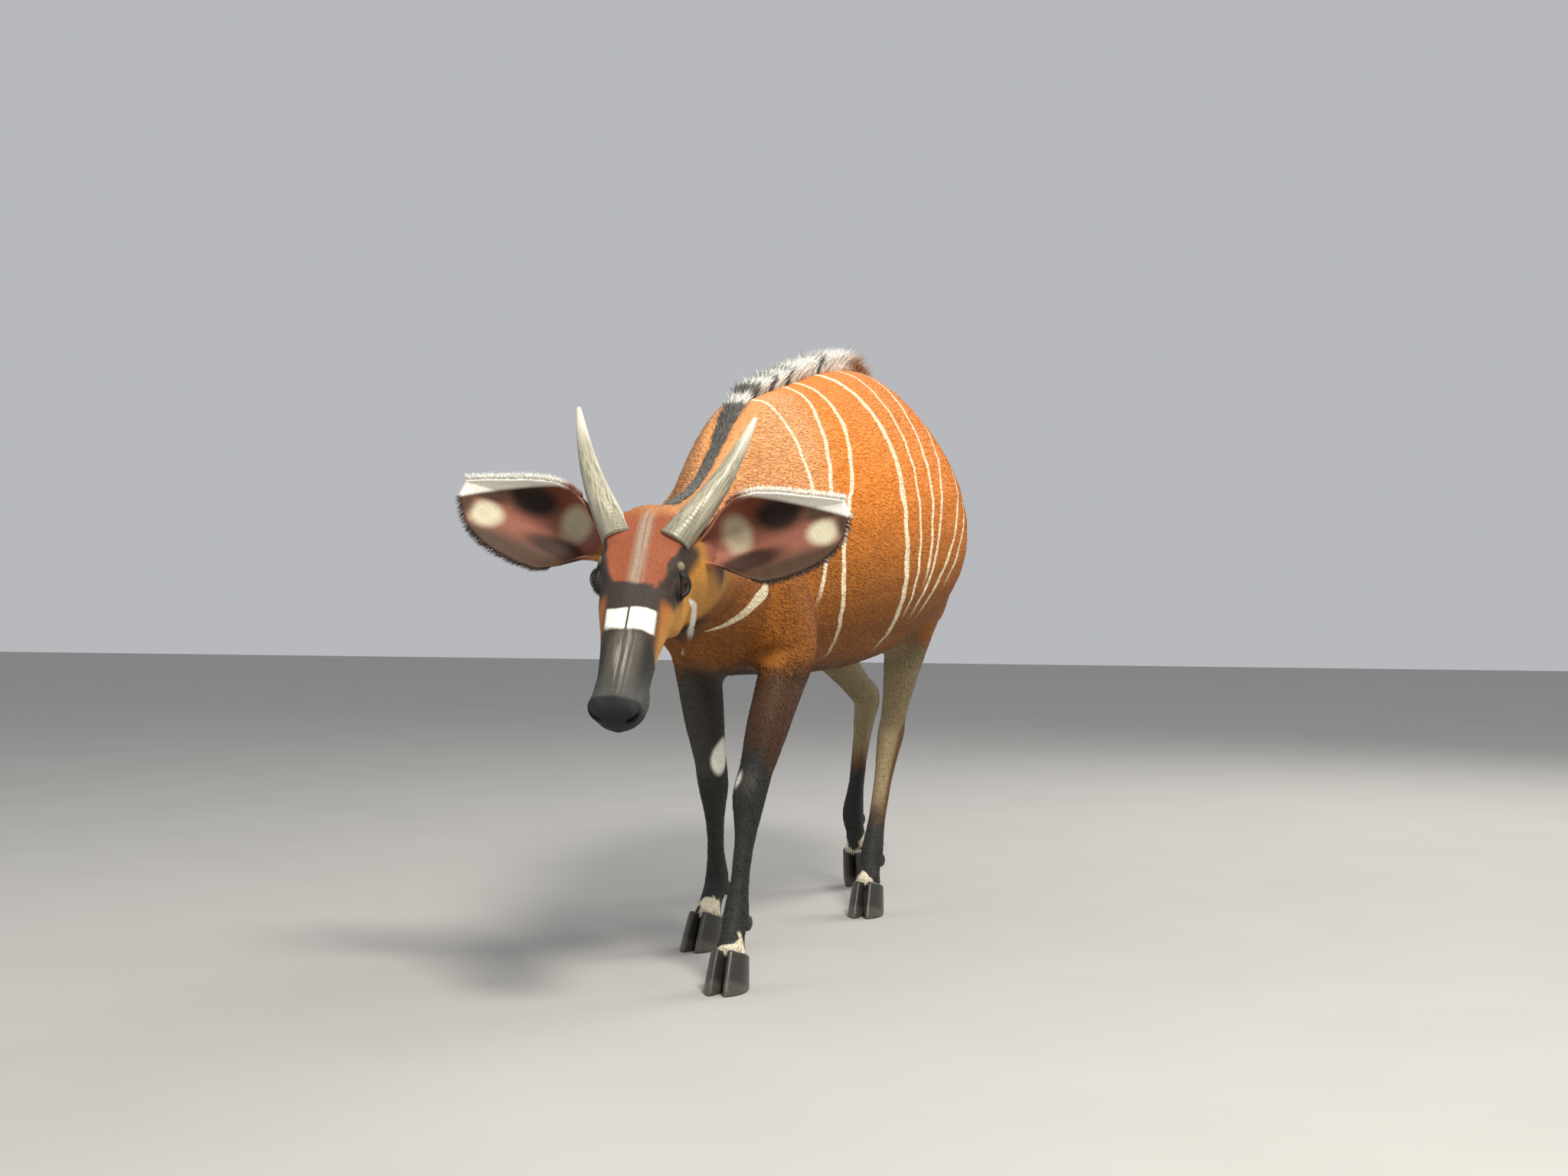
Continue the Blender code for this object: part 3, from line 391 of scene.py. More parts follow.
# The hide's colours, the same on skin and coat: chestnut, paler on neck and shoulder by painted sunlight,
# with narrow cream stripes, darker low on the flanks and a dark belly, both partly painted shade, dark lower
# legs with pale patches, and a mask of rust, dark grey and white.
class Wire:
    """The output of a shader node, with which sums are written as with numbers."""

    def __init__(self, socket):
        self.socket = socket

    def node(self, kind, settings, values, output=0):
        """Adds any node: its kind, its settings, and the values or wires of its sockets."""
        tree = self.socket.id_data
        made = tree.nodes.new(kind)
        for key, value in settings.items():
            setattr(made, key, value)
        for key, value in values.items() if isinstance(values, dict) else enumerate(values):
            if isinstance(value, Wire):
                tree.links.new(value.socket, made.inputs[key])
            else:
                made.inputs[key].default_value = value
        return Wire(made.outputs[output])

    def maths(self, operation, *values):
        return self.node("ShaderNodeMath", {"operation": operation}, values)

    def vectors(self, operation, *values, output=0):
        return self.node("ShaderNodeVectorMath", {"operation": operation}, values, output)

    def __add__(self, other):
        return self.maths("ADD", self, other)

    def __radd__(self, other):
        return self.maths("ADD", other, self)

    def __sub__(self, other):
        return self.maths("SUBTRACT", self, other)

    def __rsub__(self, other):
        return self.maths("SUBTRACT", other, self)

    def __mul__(self, other):
        return self.maths("MULTIPLY", self, other)

    def __rmul__(self, other):
        return self.maths("MULTIPLY", other, self)

    def __truediv__(self, other):
        return self.maths("DIVIDE", self, other)

    def __pow__(self, other):
        return self.maths("POWER", self, other)

    def __abs__(self):
        return self.maths("ABSOLUTE", self)


def new_finish(name, roughness, settings=()):
    """A material with a roughness and other fixed settings, and the wire of the place on the object."""
    material = bpy.data.materials.new(name)
    material.use_nodes = True
    shader = material.node_tree.nodes["Principled BSDF"]
    shader.inputs["Roughness"].default_value = roughness
    for key, value in settings:
        shader.inputs[key].default_value = value
    texture = material.node_tree.nodes.new("ShaderNodeTexCoord")
    return material, Wire(texture.outputs["Object"])


def paint(material, colour, bump=None, strength=0.3, distance=0.001, roughness=None):
    """Joins a colour, a bump height and a roughness to a material's shader."""
    tree = material.node_tree
    shader = tree.nodes["Principled BSDF"]
    tree.links.new(colour.socket, shader.inputs["Base Color"])
    if bump is not None:
        way = bump.node("ShaderNodeBump", {}, {"Strength": strength, "Distance": distance, "Height": bump})
        tree.links.new(way.socket, shader.inputs["Normal"])
    if roughness is not None:
        tree.links.new(roughness.socket, shader.inputs["Roughness"])


def step(low, high, value):
    """0 at low, 1 at high and a soft rise between them; low may be above high."""
    return value.node("ShaderNodeMapRange", {"interpolation_type": "SMOOTHSTEP"}, (value, low, high))


def mix(share, one, two):
    """Colour one where the share is 0 and colour two where it is 1."""
    wire = next(value for value in (share, one, two) if isinstance(value, Wire))
    one, two = (value if isinstance(value, Wire) else (*value, 1.0) for value in (one, two))
    return wire.node("ShaderNodeMix", {"data_type": "RGBA"}, {0: share, 6: one, 7: two}, 2)


def joined(*parts):
    """A place from its three parts, of which the last is a wire."""
    return parts[-1].node("ShaderNodeCombineXYZ", {}, parts)


def parts_of(place):
    """The three parts of a place."""
    return [place.node("ShaderNodeSeparateXYZ", {}, (place,), k) for k in range(3)]


def highest(wires):
    """The highest of several wires."""
    return functools.reduce(lambda one, two: one.maths("MAXIMUM", one, two), wires)


def shaded(colour, shade):
    """A colour made darker or lighter by a factor."""
    settings = {"data_type": "RGBA", "blend_type": "MULTIPLY"}
    return shade.node("ShaderNodeMix", settings, {0: 1.0, 6: colour, 7: joined(shade, shade, shade)}, 2)


def noise(place, scale, detail=2.0, stretch=None):
    """Soft noise about 0.5, drawn out by a stretch in three directions."""
    if stretch is not None:
        place = place.vectors("MULTIPLY", place, stretch)
    return place.node("ShaderNodeTexNoise", {}, {"Vector": place, "Scale": scale, "Detail": detail})


def ahead(place, origin, direction):
    """How far a place is from an origin in a direction."""
    away = place.vectors("SUBTRACT", place, tuple(origin))
    return away.vectors("DOT_PRODUCT", away, tuple(direction), output=1)


def spot(place, centre, radii, soft=0.35):
    """1 inside an ellipsoid and 0 outside it, with a soft edge."""
    away = place.vectors("DIVIDE", place.vectors("SUBTRACT", place, tuple(centre)), tuple(radii))
    return step(1 + soft, 1 - soft, place.vectors("LENGTH", away, output=1))


def streak(place, rows, flat=(1.0, 1.0, 1.0)):
    """1 along a line through points, whose half width is the last of each row, and 0 off it.

    A part of flat below 1 lets the line lie that much deeper or higher than its points.
    """
    stretches = []
    place = place.vectors("MULTIPLY", place, flat)
    rows = [(*(a * b for a, b in zip(row, flat)), row[3]) for row in rows]
    for (*start, half), (*end, last_half) in zip(rows, rows[1:]):
        way = Vector(end) - Vector(start)
        away = place.vectors("SUBTRACT", place, tuple(start))
        share = away.vectors("DOT_PRODUCT", away, tuple(way / way.length_squared), output=1)
        share = share.node("ShaderNodeClamp", {}, (share, 0.0, 1.0))
        nearest = {0: tuple(way), "Scale": share}
        nearest = share.node("ShaderNodeVectorMath", {"operation": "SCALE"}, nearest)
        off = away.vectors("LENGTH", away.vectors("SUBTRACT", away, nearest), output=1)
        off = off - (half + (last_half - half) * share)
        stretches.append(step(STREAK_EDGE, -STREAK_EDGE, off))
    return highest(stretches)


CHESTNUT, CHESTNUT_LOW, CHESTNUT_DARK = (0.74, 0.225, 0.012), (0.300, 0.098, 0.009), (0.050, 0.022, 0.009)
# The paler tan of neck and shoulder is painted sunlight.
SUNLIT_SHOULDER, CREAM, WHITE = (0.72, 0.335, 0.125), (0.88, 0.78, 0.56), (0.90, 0.87, 0.78)
DARK, DARK_GREY, BLACK = (0.021, 0.022, 0.020), (0.048, 0.044, 0.034), (0.010, 0.010, 0.010)
LEG_BROWN, PALE_LEG, BAND = (0.120, 0.055, 0.020), (0.30, 0.24, 0.13), (0.74, 0.66, 0.50)
FOREHEAD, BROW_STREAK, CHEEK = (0.27, 0.074, 0.029), (0.34, 0.30, 0.23), (0.50, 0.235, 0.045)
MUZZLE_DARK, MUZZLE_BROWN, STREAK = (0.020, 0.022, 0.020), (0.075, 0.060, 0.044), (0.30, 0.29, 0.25)
MUZZLE_FRONT, NOSE_BLACK, SPOT = (0.055, 0.060, 0.056), (0.008, 0.010, 0.011), (0.55, 0.46, 0.26)
# Stripes from shoulder to rump: how far along the animal each is at four heights, its half width, and the
# height at which it ends.
STRIPE_HEIGHTS = (0.98, 0.86, 0.74, 0.60)
STRIPES = (
    ((-0.130, -0.125, -0.150, -0.170), 0.0050, 0.78), ((0.035, -0.050, -0.118, -0.165), 0.0050, 0.63),
    ((0.105, 0.020, -0.068, -0.078), 0.0052, 0.53), ((0.238, 0.185, 0.133, 0.137), 0.0085, 0.54),
    ((0.325, 0.254, 0.194, 0.172), 0.0046, 0.60), ((0.415, 0.326, 0.252, 0.200), 0.0050, 0.66),
    ((0.530, 0.395, 0.288, 0.218), 0.0046, 0.60), ((0.640, 0.523, 0.382, 0.262), 0.0046, 0.60),
    ((0.735, 0.610, 0.445, 0.320), 0.0044, 0.66), ((0.800, 0.690, 0.540, 0.400), 0.0042, 0.70),
)
STRIPE_MIDDLE, STRIPE_REACH = 0.80, (0.52, 1.08)
# A white line runs from behind the eye down the cheek, as places in the head, and goes on thinner over the
# throat. A crescent on each side of the neck widens upwards. Rows end with a half width. Points on the neck
# are given for its left, and their mirror images are about its own middle plane.
CHEEK_LINE = (
    (0.120, 0.078, -0.040, 0.0022), (0.101, 0.069, -0.119, 0.0045), (0.101, 0.055, -0.188, 0.0036),
)
CHEEK_MIDDLE, CHEEK_FLAT, STREAK_EDGE = (0.101, 0.0, -0.119), (0.5, 1.0, 1.0), 0.0015
THROAT_LINE = ((0.0050, -0.4900, 0.5530, 0.0024), (-0.0230, -0.4388, 0.5331, 0.0015))
CRESCENT = (
    (0.0452, -0.5089, 0.5730, 0.0020), (0.0566, -0.4793, 0.5785, 0.0035),
    (0.0656, -0.4593, 0.5855, 0.0060), (0.0801, -0.4229, 0.6034, 0.0100),
    (0.0870, -0.3997, 0.6191, 0.0130), (0.0915, -0.3696, 0.6350, 0.0140),
)


def on_neck(rows, side):
    """Rows of a line on the neck's left, or their mirror image about its middle plane."""
    middles = [float(back_line(row[1])[0]) for row in rows]
    return [(middle + side * (row[0] - middle), *row[1:]) for middle, row in zip(middles, rows)]


def body_colour(place, y, z, blotch, wobble):
    """Chestnut with stripes and the crescents of the neck, with painted sunlight on the shoulder and painted
    shade low down.
    """
    # The paler tan over upper neck and shoulder is painted sunlight.
    shoulder = step(-0.02, -0.16, y - 0.5 * (z - 0.8) + 0.10 * wobble)
    colour = mix(shoulder * step(0.62, 0.80, z + 0.10 * wobble), CHESTNUT, SUNLIT_SHOULDER)
    # Darker low on the flanks and dark under the belly: partly the coat's own darker underside, partly
    # painted shade.
    colour = mix(step(0.88, 0.60, z + 0.10 * (blotch - 0.5)), colour, CHESTNUT_LOW)
    colour = mix(0.85 * step(0.535, 0.475, z + 0.03 * wobble), colour, CHESTNUT_DARK)
    rise = z.node("ShaderNodeClamp", {}, (z, *STRIPE_REACH)) - STRIPE_MIDDLE
    wander = 0.014 * wobble - y
    lines = []
    for places, half_width, end in STRIPES:
        line, *factors = map(float, np.polyfit(np.array(STRIPE_HEIGHTS) - STRIPE_MIDDLE, places, 3))
        for factor in factors:
            line = rise.maths("MULTIPLY_ADD", rise, line, factor)
        slope = (places[0] - places[3]) / (STRIPE_HEIGHTS[0] - STRIPE_HEIGHTS[3])
        width = half_width * math.hypot(1, slope)
        here = step(1.3 * width, 0.7 * width, abs(line + wander))
        lines.append(here * step(end - 0.03, end + 0.03, z))
    colour = mix(highest(lines) * (0.75 + 0.4 * blotch), colour, CREAM)
    for side in SIDES:
        colour = mix(streak(place, on_neck(CRESCENT, side)), colour, CREAM)
    return colour


# Markings of the face, as distances from the poll: where the rust of the forehead ends, the white chevron,
# the muzzle and the nose pad. Spots are places in the head with their radii.
RUST_END, CHEVRON, MUZZLE, NOSE = 0.136, (0.181, 0.210), 0.216, 0.322
FACE_SPOTS = (
    ((0.098, 0.063, -0.010), (0.0055, 0.0090, 0.0070)), ((0.060, 0.058, -0.058), (0.010, 0.012, 0.014)),
    ((0.335, 0.000, -0.086), (0.022, 0.026, 0.010)),
)
EYE_RIM = (1.30 * EYE_OPENING[0], 1.35 * EYE_OPENING[1])


def face_colour(place, wobble):
    """The mask of the face, and where it holds."""
    sided, distance, height = (ahead(place, POLL, HEAD_TURN.col[k]) for k in range(3))
    distance, across = -1.0 * distance, abs(sided)
    streaks = noise(joined(distance, sided, height), 1.0, 2.0, (9, 190, 60))
    here = step(-0.02, 0.03, distance) * step(-0.175, -0.150, height) * step(0.13, 0.10, across)
    face = mix(step(0.0, -0.06, height), FOREHEAD, CHEEK)
    amount = 0.30 + 0.45 * step(0.35, 0.62, streaks)
    face = mix(amount * step(0.017, 0.004, across), face, BROW_STREAK)
    rust = step(RUST_END + 0.005, RUST_END - 0.005, distance + 0.05 * wobble)
    rust = rust * step(0.004, -0.004, across - 0.080 + 0.36 * distance + 0.03 * wobble)
    band = (1.0 - rust) * step(0.035, 0.060, distance) * step(-0.058, -0.035, height)
    band = band * (1.0 - step(0.150, 0.168, distance) * step(0.036, 0.046, across))
    face = mix(0.93 * band, face, DARK)
    edge = distance + 0.25 * (height + 0.05) - 0.4 * across + 0.04 * wobble
    muzzle = mix(step(0.034, 0.018, across), MUZZLE_DARK, MUZZLE_BROWN)
    muzzle = mix(0.8 * step(0.018, 0.006, across) * step(0.45, 0.62, streaks), muzzle, STREAK)
    muzzle = mix(0.7 * step(0.265, 0.310, distance), muzzle, MUZZLE_FRONT)
    face = mix(step(MUZZLE - 0.006, MUZZLE + 0.012, edge) * step(-0.135, -0.115, height), face, muzzle)
    edge = distance + 0.02 * wobble
    chevron = step(CHEVRON[0] - 0.003, CHEVRON[0] + 0.002, edge)
    chevron = chevron * step(CHEVRON[1] + 0.004, CHEVRON[1] - 0.002, edge) * step(-0.05, -0.03, height)
    chevron = chevron * step(0.040, 0.034, across) * step(0.0005, 0.0030, abs(sided + 0.002))
    face = mix(chevron, face, WHITE)
    for side in SIDES:
        for spot_place, radii in FACE_SPOTS:
            face = mix(0.45 * spot(place, in_head(spot_place, side), radii), face, SPOT)
    nose = step(NOSE - 0.004, NOSE + 0.004, distance - 0.10 * across) * step(-0.078, -0.066, height)
    face = mix(nose, face, NOSE_BLACK)
    for side in SIDES:
        centre, out, slit, up = eye_frame(side)
        along, above = ahead(place, centre, slit), ahead(place, centre, up)
        edge = ((along / EYE_RIM[0]) ** 2.0 + (above / EYE_RIM[1]) ** 2.0) ** 0.5
        near_eye = step(0.0, 0.008, ahead(place, centre, out))
        face = mix(0.8 * step(1.9, 1.1, edge) * near_eye, face, DARK)
        face = mix(step(1.05, 0.90, edge) * near_eye, face, BLACK)
    return face, here


# Each leg's joints: knee or hock, fetlock and coronet. At the knee of a front leg is a white patch.
KNEE_PATCH, KNEE_PATCH_RADII, PASTERN_BAND = (-0.020, -0.024, 0.350), (0.016, 0.020, 0.034), (0.024, 0.016)
LOWER_LEGS = {
    "front_left": ((0.060, -0.360, 0.300), (0.050, -0.394, 0.112), (0.056, -0.432, 0.056)),
    "front_right": ((-0.098, -0.122, 0.300), (-0.126, -0.037, 0.114), (-0.130, -0.072, 0.056)),
    "hind_left": ((0.012, 0.573, 0.350), (0.016, 0.436, 0.114), (0.020, 0.400, 0.056)),
    "hind_right": ((-0.102, 0.768, 0.405), (-0.127, 0.752, 0.158), (-0.123, 0.772, 0.081)),
}


def leg_colour(name, colour, place, x, y, z, wobble):
    """A leg's markings over the colour of the rest, with painted shade on the far front leg."""
    knee, fetlock, coronet = LOWER_LEGS[name]
    hand = 1 if name.endswith("left") else -1
    here = step(0.25, 0.21, abs(y - knee[1])) * step(0.115, 0.095, abs(x - knee[0]))
    lean = (knee[1] - fetlock[1]) / (knee[2] - fetlock[2])
    fore = y - knee[1] - lean * (z - knee[2])
    outer = hand * (x - knee[0])
    if name.startswith("front"):
        # The dark on the upper front leg is stronger on the right one, which stands further back: painted
        # shade over its own dark hair.
        shade = 0.85 if name == "front_right" else 0.35
        leg = mix(shade * step(0.56, 0.46, z + 0.10 * wobble), colour, DARK)
        leg = mix(step(0.40, 0.33, z + 0.9 * fore + 0.10 * wobble), leg, DARK)
        strip = step(0.52, 0.46, z) * step(-0.010, -0.022, fore) * step(0.026, 0.016, abs(outer))
        leg = mix(0.85 * strip, leg, DARK_GREY)
        leg = mix(step(0.33, 0.30, z), leg, DARK)
        patch = (knee[0] + hand * KNEE_PATCH[0], knee[1] + KNEE_PATCH[1], KNEE_PATCH[2])
        leg = mix(spot(place, patch, KNEE_PATCH_RADII, 0.2), leg, WHITE)
    else:
        foot = 0.22 if name == "hind_left" else 0.30
        streaked = 0.55 + 0.45 * noise(joined(x, y, 0.1 * z), 220.0)
        pale = step(0.006, -0.010, fore + 0.5 * outer)
        pale = pale * step(0.56, 0.50, z) * step(foot - 0.05, foot + 0.02, z)
        leg = mix(0.9 * step(0.52, 0.34, z + 0.10 * wobble + 0.8 * fore), colour, LEG_BROWN)
        leg = mix(pale * streaked, leg, PALE_LEG)
        leg = mix(step(foot, foot - 0.07, z + 0.10 * wobble), leg, DARK)
    band = step(*(coronet[2] + rise for rise in PASTERN_BAND), z + 0.10 * wobble)
    leg = mix(band * step(0.014, 0.004, y - coronet[1]), leg, BAND)
    return mix(here, colour, leg)


PINK, EAR_DARK_AND_SHADOW, EAR_PALE = (0.27, 0.100, 0.066), (0.016, 0.008, 0.005), (0.60, 0.55, 0.39)
EAR_BROWN, EAR_RUST = (0.065, 0.036, 0.022), (0.16, 0.040, 0.015)
# Patches inside an ear: share of its length, height over its middle, half lengths of both, colour, strength.
# The dark patch high in the cup is painted shadow in its opening; the long dark and brown patches low in the
# lining are its own dark hair deepened by painted shade.
EAR_PATCHES = (
    (0.62, 0.040, (0.28, 0.028), EAR_RUST, 0.95), (0.61, 0.015, (0.18, 0.030), EAR_DARK_AND_SHADOW, 1.0),
    (0.33, 0.004, (0.10, 0.034), EAR_PALE, 0.90), (0.88, -0.002, (0.17, 0.016), EAR_BROWN, 0.95),
    (0.82, -0.032, (0.11, 0.020), EAR_PALE, 1.0), (0.98, -0.034, (0.09, 0.036), EAR_BROWN, 0.95),
    (0.34, -0.040, (0.26, 0.016), EAR_DARK_AND_SHADOW, 0.90), (0.56, -0.074, (0.36, 0.018), EAR_BROWN, 0.90),
)


# The white rim's lower edge: its height up to a share of the ear's length, and how it drops from there.
RIM_START, RIM_HEIGHT, RIM_DROP, RIM_BEND = 0.48, 0.0570, 0.160, 1.10


def ear_colour(place, side, lining=None):
    """An ear's colours, and where they hold. The lining is 1, the back 0, or it is told by the normal."""
    root, axis, opening, upward = ear_frame(side)
    share, up = ahead(place, root, axis) / EAR_LENGTH, ahead(place, root, upward)
    deep = ahead(place, root, opening)
    here = step(0.10, 0.17, share) * step(0.13, 0.11, abs(up))
    here = here * step(0.12, 0.09, deep) * step(-0.048, -0.038, deep)
    # The lining's lower part is brown: its own dark hair, partly painted shade under the cup.
    inside = mix(step(-0.038, -0.060, up), PINK, EAR_BROWN)
    for at, height, (half_length, half_height), tone, amount in EAR_PATCHES:
        away = (((share - at) / half_length) ** 2.0 + ((up - height) / half_height) ** 2.0) ** 0.5
        inside = mix(amount * step(1.2, 0.5, away), inside, tone)
    if lining is None:
        normal = place.node("ShaderNodeNewGeometry", {}, (), "Normal")
        lining = step(-0.10, 0.12, normal.vectors("DOT_PRODUCT", normal, tuple(opening), output=1))
    colour = mix(lining, mix(step(0.15, 0.45, share), CHESTNUT_LOW, DARK), inside)
    further = share.node("ShaderNodeClamp", {}, (share - RIM_START, 0.0, 1.0))
    rim_height = RIM_HEIGHT - RIM_DROP * (further ** RIM_BEND)
    rim = step(0.40, 0.52, share) * step(-0.006, 0.002, up - rim_height)
    return mix(rim, colour, WHITE), here


def hide_colour(place, lining=None):
    """The colour of skin and coat anywhere on the animal."""
    x, y, z = parts_of(place)
    wobble = noise(place, 22.0) - 0.5
    colour = body_colour(place, y, z, noise(place, 7.0, 3.0), wobble)
    for name in LOWER_LEGS:
        colour = leg_colour(name, colour, place, x, y, z, wobble)
    face, here = face_colour(place, wobble)
    colour = mix(here, colour, face)
    for side in SIDES:
        rows = [(*in_head(row[:3], side), row[3]) for row in CHEEK_LINE] + on_neck(THROAT_LINE, side)
        sided = side * ahead(place, in_head(CHEEK_MIDDLE), HEAD_TURN.col[0])
        line = 0.9 * streak(place, rows, flat=CHEEK_FLAT) * step(0.010, 0.022, sided)
        colour = mix(line, colour, WHITE)
        ear, here = ear_colour(place, side, lining)
        colour = mix(here, colour, ear)
    return shaded(colour, 0.70 + 0.60 * noise(place, 1.0, 2.0, (420, 130, 330)))


HAIR_GLOSS = (("Specular IOR Level", 0.3),)
material, place = new_finish("short hair over skin", 0.66, HAIR_GLOSS)
hair = noise(place, 1.0, 3.0, (900, 260, 700))
paint(material, hide_colour(place), hair, 0.5, 0.0008)
skin.data.materials.clear()
skin.data.materials.append(material)
skin.data.polygons.foreach_set("material_index", [0] * len(skin.data.polygons))
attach(skin, "root")
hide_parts(*FLESH, "ear_left", "ear_right")

# The coat: short hair in fine tufts rooted in the skin, which lie back along the trunk, down the legs and up
# the face. Each tuft is a thin three-sided spike; its colour is that of the hide where it lies.
CHANCE = np.random.default_rng(11)
TUFT_ROOM = {"body": 0.0033, "leg": 0.0026, "head": 0.0023}
TUFT_LENGTH = {"body": 0.0105, "leg": 0.0064, "head": 0.0048}
TUFT_WIDTH = {"body": 0.0021, "leg": 0.0013, "head": 0.0011}
TUFT_LIFT, TUFT_SPREAD, TUFT_CELL = math.radians(7), 0.20, 1.12
CELL_NUMBERS, CELL_STEPS, TRIES = (73856093, 19349663, 83492791, 9973), 20000, 3.0
UV_PATCH, ROOT_DEPTH = 0.003, 0.0006
COAT_PIECES = ("coat_head", "coat_neck", "coat_shoulder", "coat_flank", "coat_loin", "coat_rump")


def unit(vectors):
    """Vectors of length 1."""
    return vectors / np.maximum(np.linalg.norm(vectors, axis=-1), 1e-9)[:, None]


def scatter(piece, room):
    """Roots spread evenly over a piece, each with room around it.

    It gives their places, their ways out of the piece, and their places on the unwrap.
    """
    mesh = piece.data
    mesh.calc_loop_triangles()
    count = len(mesh.loop_triangles)
    verts, loops = np.empty(count * 3, int), np.empty(count * 3, int)
    mesh.loop_triangles.foreach_get("vertices", verts)
    mesh.loop_triangles.foreach_get("loops", loops)
    flat = np.empty(len(mesh.loops) * 2)
    mesh.uv_layers.active.data.foreach_get("uv", flat)
    corners = points_of(mesh)[verts.reshape(-1, 3)]
    outs = points_of(mesh, "normal")[verts.reshape(-1, 3)]
    unwrap = flat.reshape(-1, 2)[loops.reshape(-1, 3)]
    sides = corners[:, 1:] - corners[:, :1]
    area = 0.5 * np.linalg.norm(np.cross(sides[:, 0], sides[:, 1]), axis=1)
    wanted = area / room(corners.mean(axis=1)) ** 2
    picked = np.repeat(np.arange(count), CHANCE.poisson(TRIES * wanted))
    one, two = CHANCE.random((2, len(picked), 1))
    turned = one + two > 1
    one, two = np.where(turned, 1 - one, one), np.where(turned, 1 - two, two)

    def blend(values):
        return values[picked, 0] * (1 - one - two) + values[picked, 1] * one + values[picked, 2] * two

    roots, ways, places = blend(corners), blend(outs), blend(unwrap)
    size = TUFT_CELL * room(roots)
    inside = np.flatnonzero(np.isfinite(size))
    cells = np.round(np.vstack([roots[inside].T / size[inside], size[inside] * CELL_STEPS])).astype(int)
    _, first = np.unique(np.array(CELL_NUMBERS) @ cells, return_index=True)
    kept = np.sort(inside[first])
    return roots[kept], unit(ways[kept]), places[kept]


def scatter_where(piece, holds, room):
    """Roots spread over a piece with one room, only where a test of points holds."""
    return scatter(piece, lambda points: np.where(holds(points), room, np.inf))


def lay_locks(name, roots, ways, outs, lengths, widths, places, bends=0.0, rings=1, thickness=0.4):
    """A piece of many tapered three-sided locks, each along its way, with a bend towards the tip."""
    side = unit(np.cross(ways, outs))
    parts = []
    for t in [k / rings for k in range(rings)]:
        centre = roots + (ways + bends * t) * (lengths * t)[:, None]
        half = (0.5 * widths * (1 - t) ** 0.6)[:, None]
        parts += [centre + side * half, centre - side * half, centre + outs * (thickness * 2 * half)]
    parts.append(roots + (ways + bends) * lengths[:, None])
    stride, count = len(parts), len(roots)
    faces = [(0, 2, 1)]
    for k in range(rings):
        for a, b in ((0, 1), (1, 2), (2, 0)):
            a, b, c, d = 3 * k + a, 3 * k + b, 3 * k + 3 + b, 3 * k + 3 + a
            faces += [(a, b, stride - 1)] if k == rings - 1 else [(a, b, c), (a, c, d)]
    corners = (np.array(faces).ravel()[None, :] + stride * np.arange(count)[:, None]).ravel()
    made = bpy.data.meshes.new(name)
    made.vertices.add(count * stride)
    made.loops.add(len(corners))
    made.polygons.add(len(corners) // 3)
    made.vertices.foreach_set("co", np.stack(parts, axis=1).ravel())
    made.loops.foreach_set("vertex_index", corners)
    made.polygons.foreach_set("loop_start", np.arange(0, len(corners), 3))
    patch = [((0.5, -0.5, 0.0)[k % 3], k // 3 / rings) for k in range(stride - 1)]
    patch = UV_PATCH * (np.array(patch + [(0.0, 1.0)]) - (0.0, 0.5))
    layer = made.uv_layers.new(name="OFBake")
    layer.data.foreach_set("uv", (places[:, None, :] + patch).reshape(-1, 2)[corners].ravel())
    made.update(calc_edges=True)
    piece = bpy.data.objects.new(name, made)
    bpy.context.scene.collection.objects.link(piece)
    return piece


def dress(piece, material, slot, *nodes):
    """Gives a piece its material and body, and hides the nodes that it stands for; its slot is not used."""
    piece.data.materials.append(material)
    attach(piece, "root")
    if nodes:
        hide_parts(*nodes)


def leg_share(points):
    """1 on the legs below elbow and stifle, and 0 off them."""
    return smooth_step(0.56, 0.46, points[:, 2]) * (points[:, 1] < 0.80) * (head_share(points) < 0.5)


def ear_shares(points):
    """For each ear: share of its length, height over its middle, and whether points belong to it."""
    found = []
    for side in SIDES:
        root, axis, opening, upward = arrays(ear_frame(side))
        away = points - root
        share, up, deep = away @ axis / EAR_LENGTH, away @ upward, away @ opening
        found.append((share, up, (share > 0.13) & (np.abs(up) < 0.10) & (np.abs(deep) < 0.09)))
    return found


def by_region(points, values):
    """A size of the hair at points, from its values on body, legs and head."""
    on_ear = np.any([belongs for _, _, belongs in ear_shares(points)], axis=0)
    head, leg = np.maximum(head_share(points), on_ear), leg_share(points)
    low = values["body"] * (1 - head) * (1 - leg) + values["leg"] * leg * (1 - head)
    return low + values["head"] * head


def lie_of_hair(points, outs):
    """The direction in which the hair lies at points of the skin."""
    y = points[:, 1]
    chest = (smooth_step(-0.30, -0.40, y) * smooth_step(-0.2, -0.6, outs[:, 1]))[:, None]
    lie = np.array((0.0, 1.0, -0.35)) * (1 - chest) + np.array((0.0, 0.4, -0.9)) * chest
    leg = leg_share(points)[:, None]
    lie = lie * (1 - leg) + np.array((0.0, 0.12, -1.0)) * leg
    rear = (smooth_step(0.66, 0.76, y) * smooth_step(0.2, 0.6, outs[:, 1]))[:, None]
    lie = lie * (1 - rear) + np.array((0.0, 0.1, -1.0)) * rear
    head = head_share(points)[:, None]
    lie = lie * (1 - head) + (np.array(HEAD_TURN.col[1]) - 0.35 * np.array(HEAD_TURN.col[2])) * head
    for side, (_, _, belongs) in zip(SIDES, ear_shares(points)):
        lie = np.where(belongs[:, None], np.array(ear_frame(side)[1]), lie)
    return unit(lie - outs * np.sum(lie * outs, axis=1)[:, None])


